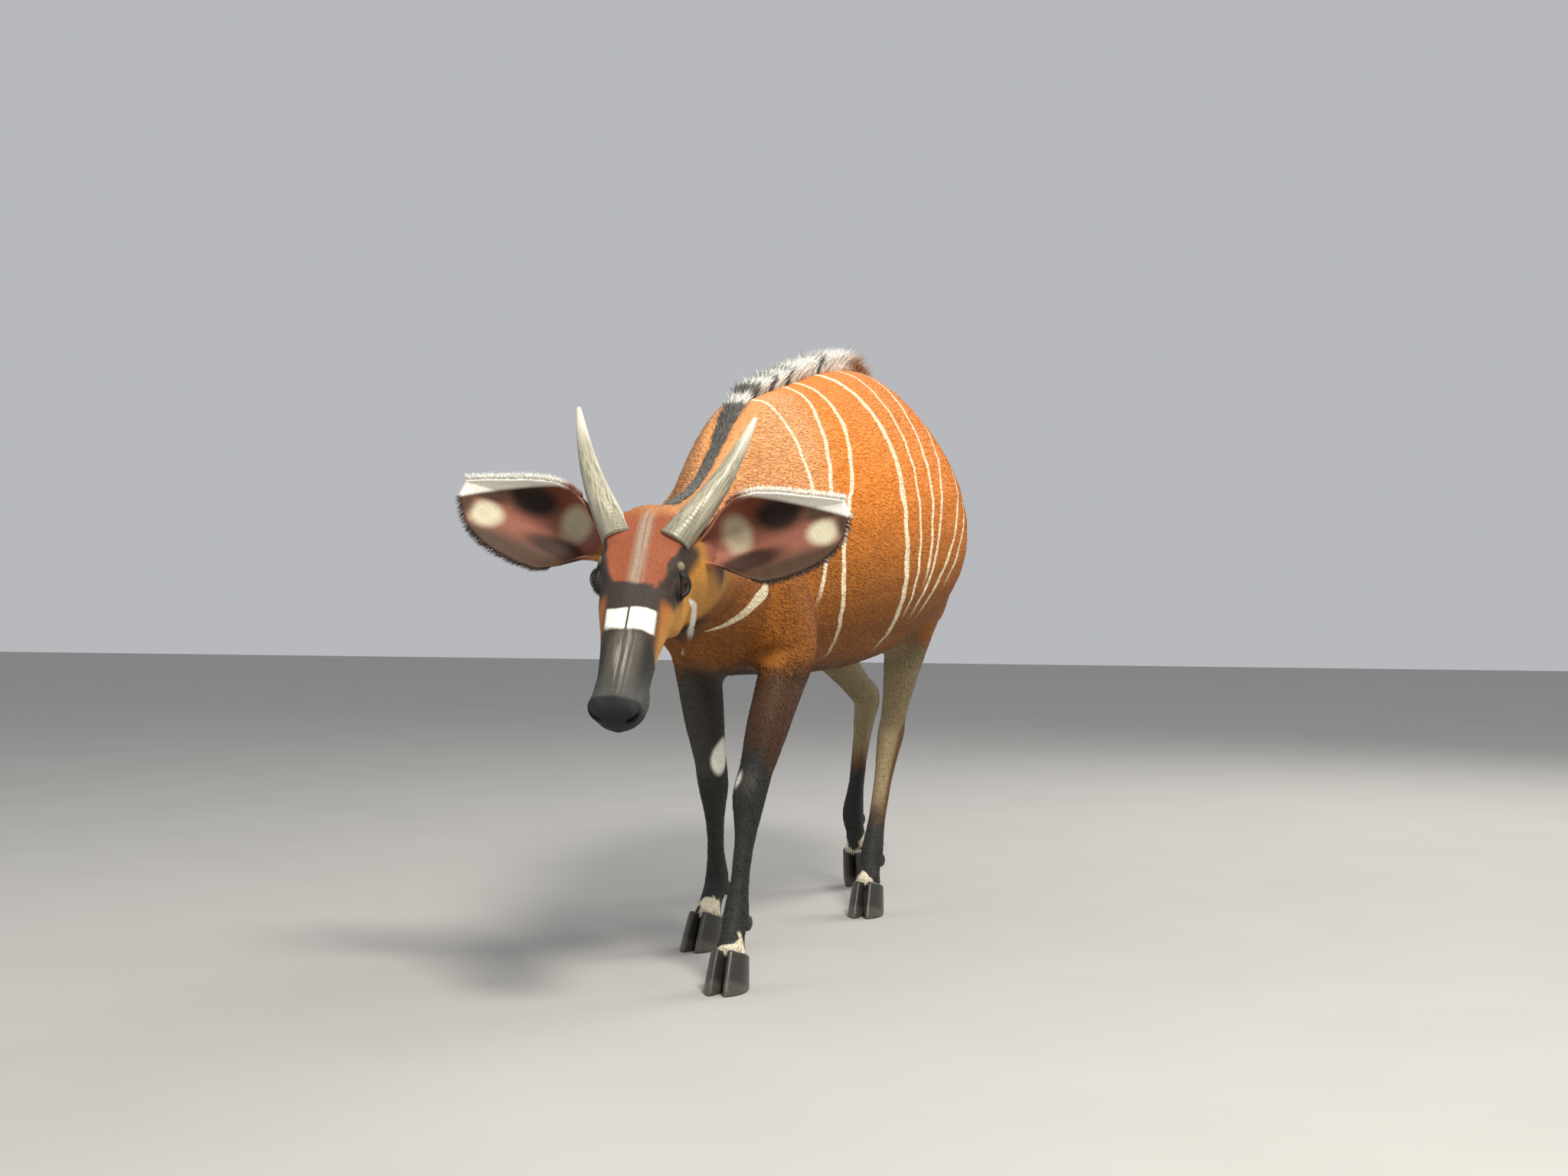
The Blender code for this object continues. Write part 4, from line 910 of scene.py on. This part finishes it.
def bare(points, outs):
    """Where no coat grows: eyes, nose pad with the nostrils, mouth, and the lining of the ears."""
    distance, across, height = head_places(points)
    bald = (distance > NOSE - 0.006) & (distance < 0.42) & (height > -0.074) & (across < 0.1)
    bald &= points[:, 2] > 0.35
    bald |= (distance > MOUTH_CORNER) & (np.abs(height - MOUTH_LEVEL) < 0.003) & whole_head(points)
    for side in SIDES:
        centre, out, slit, up = arrays(eye_frame(side))
        away = points - centre
        edge = np.hypot(away @ slit / (1.25 * EYE_OPENING[0]), away @ up / (1.35 * EYE_OPENING[1]))
        bald |= (edge < 1) & (away @ out > 0) & (np.linalg.norm(away, axis=1) < 0.04)
    for side, (_, _, belongs) in zip(SIDES, ear_shares(points)):
        bald |= belongs & (outs @ np.array(ear_frame(side)[2]) > 0.1)
    return bald


roots, outs, places = scatter(skin, lambda points: by_region(points, TUFT_ROOM))
kept = ~bare(roots, outs)
roots, outs, places = roots[kept], outs[kept], places[kept]
count = len(roots)
lie = lie_of_hair(roots, outs)
lie = unit(lie + np.cross(outs, lie) * CHANCE.normal(0, TUFT_SPREAD, (count, 1)))
lift = (TUFT_LIFT * CHANCE.uniform(0.5, 1.6, count))[:, None]
ways = lie * np.cos(lift) + outs * np.sin(lift)
under = smooth_step(-0.3, -0.8, outs[:, 2]) * (roots[:, 2] > 0.4)
shaggy = 1 + 0.2 * smooth_step(-0.1, -0.4, roots[:, 1]) + 0.4 * under
lengths = by_region(roots, TUFT_LENGTH) * CHANCE.uniform(0.75, 1.25, count) * shaggy
widths = by_region(roots, TUFT_WIDTH) * CHANCE.uniform(0.8, 1.2, count)
coat_material, place = new_finish("hair of the coat", 0.62, HAIR_GLOSS)
paint(coat_material, hide_colour(place, 0.0))
order = np.argsort(roots[:, 1], kind="stable")
for name, chosen in zip(COAT_PIECES, np.array_split(order, len(COAT_PIECES))):
    coat = lay_locks(name, roots[chosen] - ROOT_DEPTH * outs[chosen], ways[chosen], outs[chosen],
                     lengths[chosen], widths[chosen], places[chosen])
    dress(coat, coat_material, "coat")

# The crest: a stiff upright mane along neck and back, dark on the neck and white further back, where dark
# patches part it between the stripes. Rows hold the place along the animal, the length of the hair and its
# lean to the rear.
CREST = np.array((
    (-0.607, 0.014, 0.80), (-0.432, 0.022, 0.65), (-0.332, 0.028, 0.55), (-0.212, 0.044, 0.40),
    (0.068, 0.058, 0.34), (0.318, 0.064, 0.36), (0.488, 0.052, 0.45), (0.618, 0.020, 0.65),
))
CREST_ROOM, CREST_HALF, CREST_WIDTH, CREST_DEPTH = 0.0022, 0.011, 0.0030, 0.003
# Dark patches of the crest: where they are along the animal and their half lengths.
CREST_DARK = ((-0.420, 0.230), (-0.122, 0.026), (-0.012, 0.013), (0.081, 0.012), (0.272, 0.011))
CREST_WHITE, CREST_BROWN, CREST_BLACK = (0.93, 0.90, 0.82), (0.36, 0.165, 0.060), (0.032, 0.030, 0.026)


def on_crest(points):
    """Whether points are on a strip along the middle of neck and back."""
    middle, top = back_line(points[:, 1])
    half = CREST_HALF * (0.6 + 0.4 * smooth_step(-0.35, -0.20, points[:, 1]))
    here = (np.abs(points[:, 0] - middle) < half) & (points[:, 2] > top - 0.03)
    return here & (points[:, 1] > CREST[0, 0]) & (points[:, 1] < CREST[-1, 0])


roots, outs, places = scatter_where(skin, on_crest, CREST_ROOM)
count, y = len(roots), roots[:, 1]
off = (roots[:, 0] - back_line(y)[0]) / (0.7 * CREST_HALF)
lean = np.interp(y, CREST[:, 0], CREST[:, 2]) + CHANCE.normal(0, 0.12, count)
ways = unit(np.stack([0.14 * off + CHANCE.normal(0, 0.07, count), lean, np.ones(count)], axis=1))
bends = np.stack([0.10 * off + CHANCE.normal(0, 0.08, count), CHANCE.uniform(0.15, 0.40, count),
                  np.full(count, -0.12)], axis=1)
lengths = np.interp(y, CREST[:, 0], CREST[:, 1]) * CHANCE.uniform(0.70, 1.08, count)
flat = unit(np.cross(ways, CHANCE.normal(0, 1, (count, 3))))
crest = lay_locks("crest", roots - CREST_DEPTH * ways, ways, flat, lengths + CREST_DEPTH,
                  CREST_WIDTH * CHANCE.uniform(0.7, 1.3, count), places, bends, 3, 0.3)
material, place = new_finish("stiff hair of the crest", 0.5)
wander = parts_of(place)[1] + 0.03 * (noise(place, 40.0) - 0.5)
dark = highest([step(half + 0.008, half - 0.004, abs(wander - at)) for at, half in CREST_DARK])
colour = mix(step(0.40, 0.50, wander), CREST_WHITE, CREST_BROWN)
colour = mix(0.9 * dark, colour, CREST_BLACK)
paint(material, shaded(colour, 0.6 + 0.7 * noise(place, 1.0, 2.0, (500, 500, 60))))
dress(crest, material, "coat")

# The tuft at the tail's end: long coarse dark hair, rooted all round the last of the flesh. It hangs
# down and closes again towards its tip.
TAIL_ROOM, TAIL_ZONE, TAIL_HAIR, TAIL_WIDTH = 0.0024, (0.60, 0.66), (0.10, 0.15), 0.0036
TAIL_BEHIND, TAIL_BROWN, TAIL_BLACK = 0.78, (0.060, 0.030, 0.014), (0.016, 0.012, 0.010)


def on_tail_end(points):
    """Whether points are on the tail's end."""
    return (points[:, 2] > TAIL_ZONE[0]) & (points[:, 2] < TAIL_ZONE[1]) & (points[:, 1] > TAIL_BEHIND)


roots, outs, places = scatter_where(skin, on_tail_end, TAIL_ROOM)
count = len(roots)
around = unit(outs * (1, 1, 0))
ways = unit(around * CHANCE.uniform(0.05, 0.22, (count, 1)) - (0, 0, 1))
bends = -0.16 * around * CHANCE.uniform(0, 1, (count, 1)) + (0.03, 0.05, 0)
tuft = lay_locks("tail_tuft", roots - 0.001 * around, ways, around, CHANCE.uniform(*TAIL_HAIR, count),
                 np.full(count, TAIL_WIDTH), places, bends, 4, 0.3)
material, place = new_finish("dark hair of the tail", 0.45)
colour = mix(noise(place, 30.0), TAIL_BROWN, TAIL_BLACK)
paint(material, shaded(colour, 0.6 + 0.8 * noise(place, 1.0, 2.0, (700, 700, 40))))
dress(tuft, material, "coat")

# The ears' longer hair: a fringe along the rims, white above and dark below, which grows out of the edge of
# the ear and points away from it and to its tip.
FRINGE_ROOM, FRINGE_HAIR, FRINGE_WIDTH, FRINGE_RIM = 0.0016, (0.009, 0.014), 0.0012, 0.005
FRINGE_START, FRINGE_WAY = 0.33, (0.6, 0.8)


def in_fringe(share, up, belongs):
    """Whether points of an ear are on its rim."""
    above, below = (np.interp(share, EAR_ROWS[:, 0], EAR_ROWS[:, k]) for k in (1, 2))
    return belongs & (share > FRINGE_START) & ((up > above - FRINGE_RIM) | (up < FRINGE_RIM - below))


roots, outs, places = scatter_where(
    skin, lambda points: np.any([in_fringe(*shares) for shares in ear_shares(points)], axis=0), FRINGE_ROOM)
count = len(roots)
ways = np.zeros((count, 3))
for side, (share, up, belongs) in zip(SIDES, ear_shares(roots)):
    _, axis, _, upward = arrays(ear_frame(side))
    out = FRINGE_WAY[0] * axis + np.sign(up)[:, None] * FRINGE_WAY[1] * upward
    ways = np.where(in_fringe(share, up, belongs)[:, None], out, ways)
ways = unit(ways + CHANCE.normal(0, 0.18, (count, 3)))
# Of two draws for each hair, the first is its length.
lengths = CHANCE.uniform(*FRINGE_HAIR, (2, count))[0]
flat = unit(np.cross(ways, CHANCE.normal(0, 1, (count, 3))))
ear_hair = lay_locks("ear_hair", roots - ROOT_DEPTH * outs, ways, flat, lengths,
                     np.full(count, FRINGE_WIDTH), places, rings=2)
material, place = new_finish("long hair of the ears", 0.5)
paint(material, hide_colour(place, 1.0))
dress(ear_hair, material, "coat")

# The lashes: short stiff black hair, rooted along the edge of the upper lids. They stand out from
# the eye and spread towards its corners.
LASH_SPREAD = 18
LASH_ROOM, LASH_HAIR, LASH_WIDTH, LASH_ZONE = 0.0013, (0.004, 0.007), 0.0005, (1.0, 1.25)


def on_lids(points):
    """For each eye: whether points are on the edge of its upper lid, and the way its lashes stand."""
    found = []
    for side in SIDES:
        centre, out, slit, up = arrays(eye_frame(side))
        facing = unit(points - centre)
        along, above = facing @ slit * BALL_RADIUS, facing @ up * BALL_RADIUS
        edge = np.hypot(along / EYE_OPENING[0], above / EYE_OPENING[1])
        here = (edge > LASH_ZONE[0]) & (edge < LASH_ZONE[1]) & (above > 0.001) & (facing @ out > 0.3)
        here &= np.linalg.norm(points - centre, axis=1) < 1.4 * EYE_RADIUS
        found.append((here, out + 0.25 * up + LASH_SPREAD * along[:, None] * slit))
    return found


roots, outs, places = scatter_where(
    skin, lambda points: np.any([here for here, _ in on_lids(points)], axis=0), LASH_ROOM)
count = len(roots)
ways = sum(here[:, None] * way for here, way in on_lids(roots))
ways = unit(ways + CHANCE.normal(0, 0.10, (count, 3)))
lashes = lay_locks("eyelashes", roots, ways, outs, CHANCE.uniform(*LASH_HAIR, count),
                   np.full(count, LASH_WIDTH), places, np.array((0, 0, 0.15)), 2)
material, place = new_finish("black hair of the lashes", 0.45)
paint(material, mix(noise(place, 300.0), BLACK, DARK))
dress(lashes, material, "coat")

# The eyes: large balls, dark brown and wet, with a long pupil that lies along the slit of the lids. They sit
# in the skin's sockets.
EYE_GLOSS = (("Coat Weight", 0.35), ("Coat Roughness", 0.02), ("IOR", 1.30))
IRIS_BROWN, IRIS_DARK, IRIS_RIM = (0.050, 0.020, 0.008), (0.020, 0.008, 0.004), (0.012, 0.008, 0.006)
IRIS_EDGE, PUPIL, PUPIL_BLACK = (0.0120, 0.0135), (0.0078, 0.0036), (0.001, 0.001, 0.001)
for side, hand in SIDES.items():
    ball = bmesh.new()
    bmesh.ops.create_uvsphere(ball, u_segments=48, v_segments=32, radius=BALL_RADIUS)
    centre, out, slit, up = eye_frame(side)
    bmesh.ops.translate(ball, vec=centre, verts=ball.verts)
    eye = new_piece("eyeball_" + hand, ball)
    material, place = new_finish("wet eye " + hand, 0.10, EYE_GLOSS)
    along, above = ahead(place, centre, slit), ahead(place, centre, up)
    iris = mix(noise(place, 260.0), IRIS_BROWN, IRIS_DARK)
    iris = mix(step(*IRIS_EDGE, (along ** 2.0 + above ** 2.0) ** 0.5), iris, IRIS_RIM)
    pupil = step(1.1, 0.9, ((along / PUPIL[0]) ** 2.0 + (above / PUPIL[1]) ** 2.0) ** 0.5)
    paint(material, mix(pupil, iris, PUPIL_BLACK))
    dress(eye, material, "eye", "eye_" + hand)

# The horns: smooth tapered sheaths over a bony core, with a slight keel in front and worn pale tips. They
# grow in fine ridges, which show only near the base.
HORN_ROOT, HORN_AXIS, HORN_LENGTH = (0.045, 0.046, -0.016), (0.40, 0.90, 0.12), 0.231
HORN_RADIUS, HORN_TIP, HORN_BOW, HORN_KEEL, HORN_SUNK, HORN_ROUND = 0.0272, 0.0034, 0.010, 0.13, 0.04, 0.985
HORN_PALE, HORN_DARK, HORN_IVORY = (0.42, 0.39, 0.28), (0.16, 0.15, 0.11), (0.62, 0.58, 0.46)


def wrapped(around, levels, place_of):
    """A closed shape wrapped from a grid, of the points at a turn in radians and a share of the way up."""
    shape = bmesh.new()
    bmesh.ops.create_grid(shape, x_segments=around, y_segments=levels, size=1)
    for vert in shape.verts:
        vert.co = place_of(math.pi * vert.co.x, (vert.co.y + 1) / 2)
    bmesh.ops.remove_doubles(shape, verts=shape.verts, dist=1e-6)
    fill_holes(shape)
    bmesh.ops.recalc_face_normals(shape, faces=shape.faces)
    return shape


def horn_frame(side):
    """A horn's root, and its directions to the tip, outward and to the front."""
    axis, outward = head_way(HORN_AXIS, side), head_way((1, 0, 0), side)
    outward = (outward - axis * axis.dot(outward)).normalized()
    return in_head(HORN_ROOT, side), axis, outward, axis.cross(outward) * side


def horn_point(side, turn, share):
    """A point of a horn's surface."""
    root, axis, outward, front = horn_frame(side)
    t = share * (1 + HORN_SUNK) - HORN_SUNK
    radius = HORN_RADIUS * (1 - t) ** 0.85 + HORN_TIP * t
    radius *= math.sqrt(max(0, 1 - (max(0, t - HORN_ROUND) / (1 - HORN_ROUND)) ** 2))
    radius *= 1 + HORN_KEEL * (1 - t) * max(math.cos(turn), 0) ** 3
    ridge = 1 + 0.012 * math.sin(170 * t) * smooth_step(0.40, 0.05, t)
    centre = root + axis * (HORN_LENGTH * t) + outward * (HORN_BOW * math.sin(math.pi * t))
    return centre + (front * math.cos(turn) + outward * (0.93 * math.sin(turn))) * radius * ridge


for side, hand in SIDES.items():
    shape = wrapped(48, 90, lambda turn, share: horn_point(side, turn, share))
    horn = new_piece("horn_sheath_" + hand, shape)
    material, place = new_finish("horn " + hand, 0.38)
    root, axis, outward, front = horn_frame(side)
    along = ahead(place, root, axis)
    local = joined(along, ahead(place, root, outward), ahead(place, root, front))
    fibres = noise(local, 1.0, 3.0, (14, 420, 420))
    colour = mix(step(0.35, 0.70, fibres), HORN_PALE, HORN_DARK)
    colour = mix(0.5 * step(0.045, 0.0, along), colour, HORN_DARK)
    colour = mix(step(0.150, 0.225, along + 0.02 * fibres), colour, HORN_IVORY)
    rings = along.maths("SINE", along * 900.0 + 4.0 * noise(local, 60.0))
    bump = fibres + 0.5 * rings * step(0.12, 0.02, along)
    paint(material, colour, bump, 0.35, 0.0006, 0.30 + 0.25 * fibres)
    dress(horn, material, "horn", "horn_" + hand)

# The feet: two claws of black horn side by side with flat soles, and two small dewclaws behind the fetlock.
# They grow down from the coronet in fine rings; the lifted foot stands on its toes.
HOOF_HEIGHT, CORONET_SLOPE, CLAW_CLEFT, CLAW_BEVEL = 0.056, 0.38, 0.0012, 0.0015
CLAW_SOLE, CLAW_TOP = (0.045, 0.0325, 0.024), (0.031, 0.028, 0.003)
HOOF_PITCH = {"hind_right": math.radians(36)}
HOOF_YAW = {"front_left": 0.05, "front_right": -0.10, "hind_left": 0.08, "hind_right": -0.05}
HOOF_BLACK, HOOF_GREY, HOOF_DUST = (0.012, 0.011, 0.010), (0.045, 0.040, 0.033), (0.16, 0.14, 0.11)
TOE_CUT = 0.0002
DEWCLAW_PLACE, DEWCLAW_RADII = Vector((0.0120, 0.022, -0.014)), (0.0085, 0.010, 0.014)


def foot_frame(name):
    """Where a hoof is: its origin at the coronet, forward as its -Y and down as its -Z."""
    turn = Euler((0, 0, HOOF_YAW[name])).to_matrix() @ Euler((HOOF_PITCH.get(name, 0.0), 0, 0)).to_matrix()
    return Matrix.Translation(LOWER_LEGS[name][2]) @ turn.to_4x4()


def claw_point(foot, lie, turn, share):
    """A point of a claw's surface, from the sole (0) to the coronet (1)."""
    half_length, width, forward = (sole + (top - sole) * share for sole, top in zip(CLAW_SOLE, CLAW_TOP))
    inset = CLAW_BEVEL * max(0, 1 - share / 0.06)
    along, across = math.cos(turn), math.sin(turn)
    toe = 1 - 0.30 * max(along, 0) ** 2
    aside = max(0.5 + 0.52 * across * toe - 0.14 * max(along, 0) ** 2, 0.03)
    y = -(forward + (half_length - inset) * along)
    top = -0.0004 - CORONET_SLOPE * y
    x = lie * (CLAW_CLEFT + inset + (width - 2 * inset) * aside)
    return foot @ Vector((x, y, -HOOF_HEIGHT + (top + HOOF_HEIGHT) * share))


for name, (_, fetlock, _) in LOWER_LEGS.items():
    end, hand = name.split("_")
    foot = foot_frame(name)
    material, place = new_finish("horn of the hoof " + name, 0.30)
    up = (foot.to_3x3() @ Vector((0, CORONET_SLOPE, 1))).normalized()
    level = ahead(place, foot.translation, up)
    ring = noise(joined(0.0, 0.0, level + 0.002 * noise(place, 60.0)), 420.0, 2.0)
    colour = mix(ring, HOOF_BLACK, HOOF_GREY)
    colour = mix(0.6 * step(-0.044, -0.056, level) * noise(place, 180.0), colour, HOOF_DUST)
    paint(material, colour, ring, 0.35, 0.0007, 0.24 + 0.30 * noise(place, 90.0))
    for side, place_name in ((1, "outer"), (-1, "inner")):
        lie = side if hand == "left" else -side
        shape = wrapped(48, 24, lambda turn, share: claw_point(foot, lie, turn, share))
        if name in HOOF_PITCH:
            cut_below(shape, TOE_CUT)
        claw = new_piece(f"claw_{name}_{place_name}", shape)
        dress(claw, material, "hoof", f"{end}_hoof_{hand}_{place_name}")
        small = bmesh.new()
        bmesh.ops.create_uvsphere(small, u_segments=28, v_segments=18, radius=1)
        centre = Vector(fetlock) + DEWCLAW_PLACE * Vector((lie, 1, 1))
        small.transform(Matrix.Translation(centre) @ Matrix.Diagonal((*DEWCLAW_RADII, 1)))
        dewclaw = new_piece(f"small_claw_{name}_{place_name}", small)
        dress(dewclaw, material, "hoof", f"{end}_dewclaw_{hand}_{place_name}")

# Hair over the coronets: a fringe of the coat's own colours, rooted round the pastern, which hangs over the
# top of the claws.
OVERHANG_ROOM, OVERHANG_HAIR, OVERHANG_ZONE = 0.0017, (0.013, 0.019), (-0.010, 0.012)
OVERHANG_WIDTH, OVERHANG_DEPTH, FOOT_REACH = 0.0018, 0.0008, 0.06


def over_hooves(points):
    """Whether points are at the coronets."""
    found = np.zeros(len(points), bool)
    for name in LOWER_LEGS:
        foot = foot_frame(name).inverted()
        local = points @ np.array(foot.to_3x3()).T + np.array(foot.translation)
        level = local[:, 2] + CORONET_SLOPE * local[:, 1]
        near_foot = np.abs(local[:, :2]).max(axis=1) < FOOT_REACH
        found |= (level > OVERHANG_ZONE[0]) & (level < OVERHANG_ZONE[1]) & near_foot
    return found


roots, outs, places = scatter_where(skin, over_hooves, OVERHANG_ROOM)
kept = np.abs(outs[:, 2]) < 0.7
roots, outs, places = roots[kept], outs[kept], places[kept]
count = len(roots)
ways = unit(0.42 * unit(outs * (1, 1, 0.0)) - (0, 0, 1) + CHANCE.normal(0, 0.08, (count, 3)))
overhang = lay_locks("hair_over_hooves", roots - OVERHANG_DEPTH * outs, ways, outs,
                     CHANCE.uniform(*OVERHANG_HAIR, count), np.full(count, OVERHANG_WIDTH), places,
                     -0.25 * outs, 2)
dress(overhang, coat_material, "coat")

# The floor, the light and the camera. The animal is seen from its front left, level, at the height of its
# belly. Lamps are given by name, place, size, power and colour.
FLOOR_SIZE, FLOOR_DARK, FLOOR_PALE = 14, (0.40, 0.39, 0.37), (0.44, 0.43, 0.41)
SKY, SKY_STRENGTH, LAMPS_AIM = (0.86, 0.88, 0.92, 1.0), 0.55, (0, 0, 0.6)
LAMPS = (
    ("key", (2.2, -2.6, 3.8), 1.0, 260, (1.0, 0.95, 0.86)),
    ("fill", (-3.0, -2.6, 1.8), 2.6, 30, (0.92, 0.96, 1.0)),
    ("rim", (1.4, 3.4, 3.0), 2.0, 100, (1.0, 0.97, 0.92)),
)
floor_shape = bmesh.new()
bmesh.ops.create_grid(floor_shape, x_segments=1, y_segments=1, size=FLOOR_SIZE)
floor = new_piece("floor", floor_shape)
material, place = new_finish("pale floor", 0.8)
paint(material, mix(noise(place, 3.0), FLOOR_DARK, FLOOR_PALE))
floor.data.materials.append(material)

world = bpy.data.worlds.new("studio")
world.use_nodes = True
world.node_tree.nodes["Background"].inputs["Color"].default_value = SKY
world.node_tree.nodes["Background"].inputs["Strength"].default_value = SKY_STRENGTH
bpy.context.scene.world = world
bpy.context.scene.view_settings.view_transform = "Standard"

for name, place, size, power, colour in LAMPS:
    lamp = bpy.data.lights.new(name, "AREA")
    lamp.size, lamp.energy, lamp.color = size, power, colour
    light = bpy.data.objects.new(name, lamp)
    light.location = place
    light.rotation_euler = (Vector(LAMPS_AIM) - Vector(place)).to_track_quat("-Z", "Y").to_euler()
    bpy.context.scene.collection.objects.link(light)

VIEW_AZIMUTH, VIEW_PLACE, VIEW_ANGLE = math.radians(20), (1.3112, -3.6303, 0.64), math.radians(40.0)
camera = bpy.data.objects.new("camera", bpy.data.cameras.new("camera"))
camera.data.sensor_width = 36
camera.data.angle = VIEW_ANGLE
camera.location = VIEW_PLACE
camera.rotation_euler = (math.radians(90), 0, VIEW_AZIMUTH)
bpy.context.scene.collection.objects.link(camera)
bpy.context.scene.camera = camera
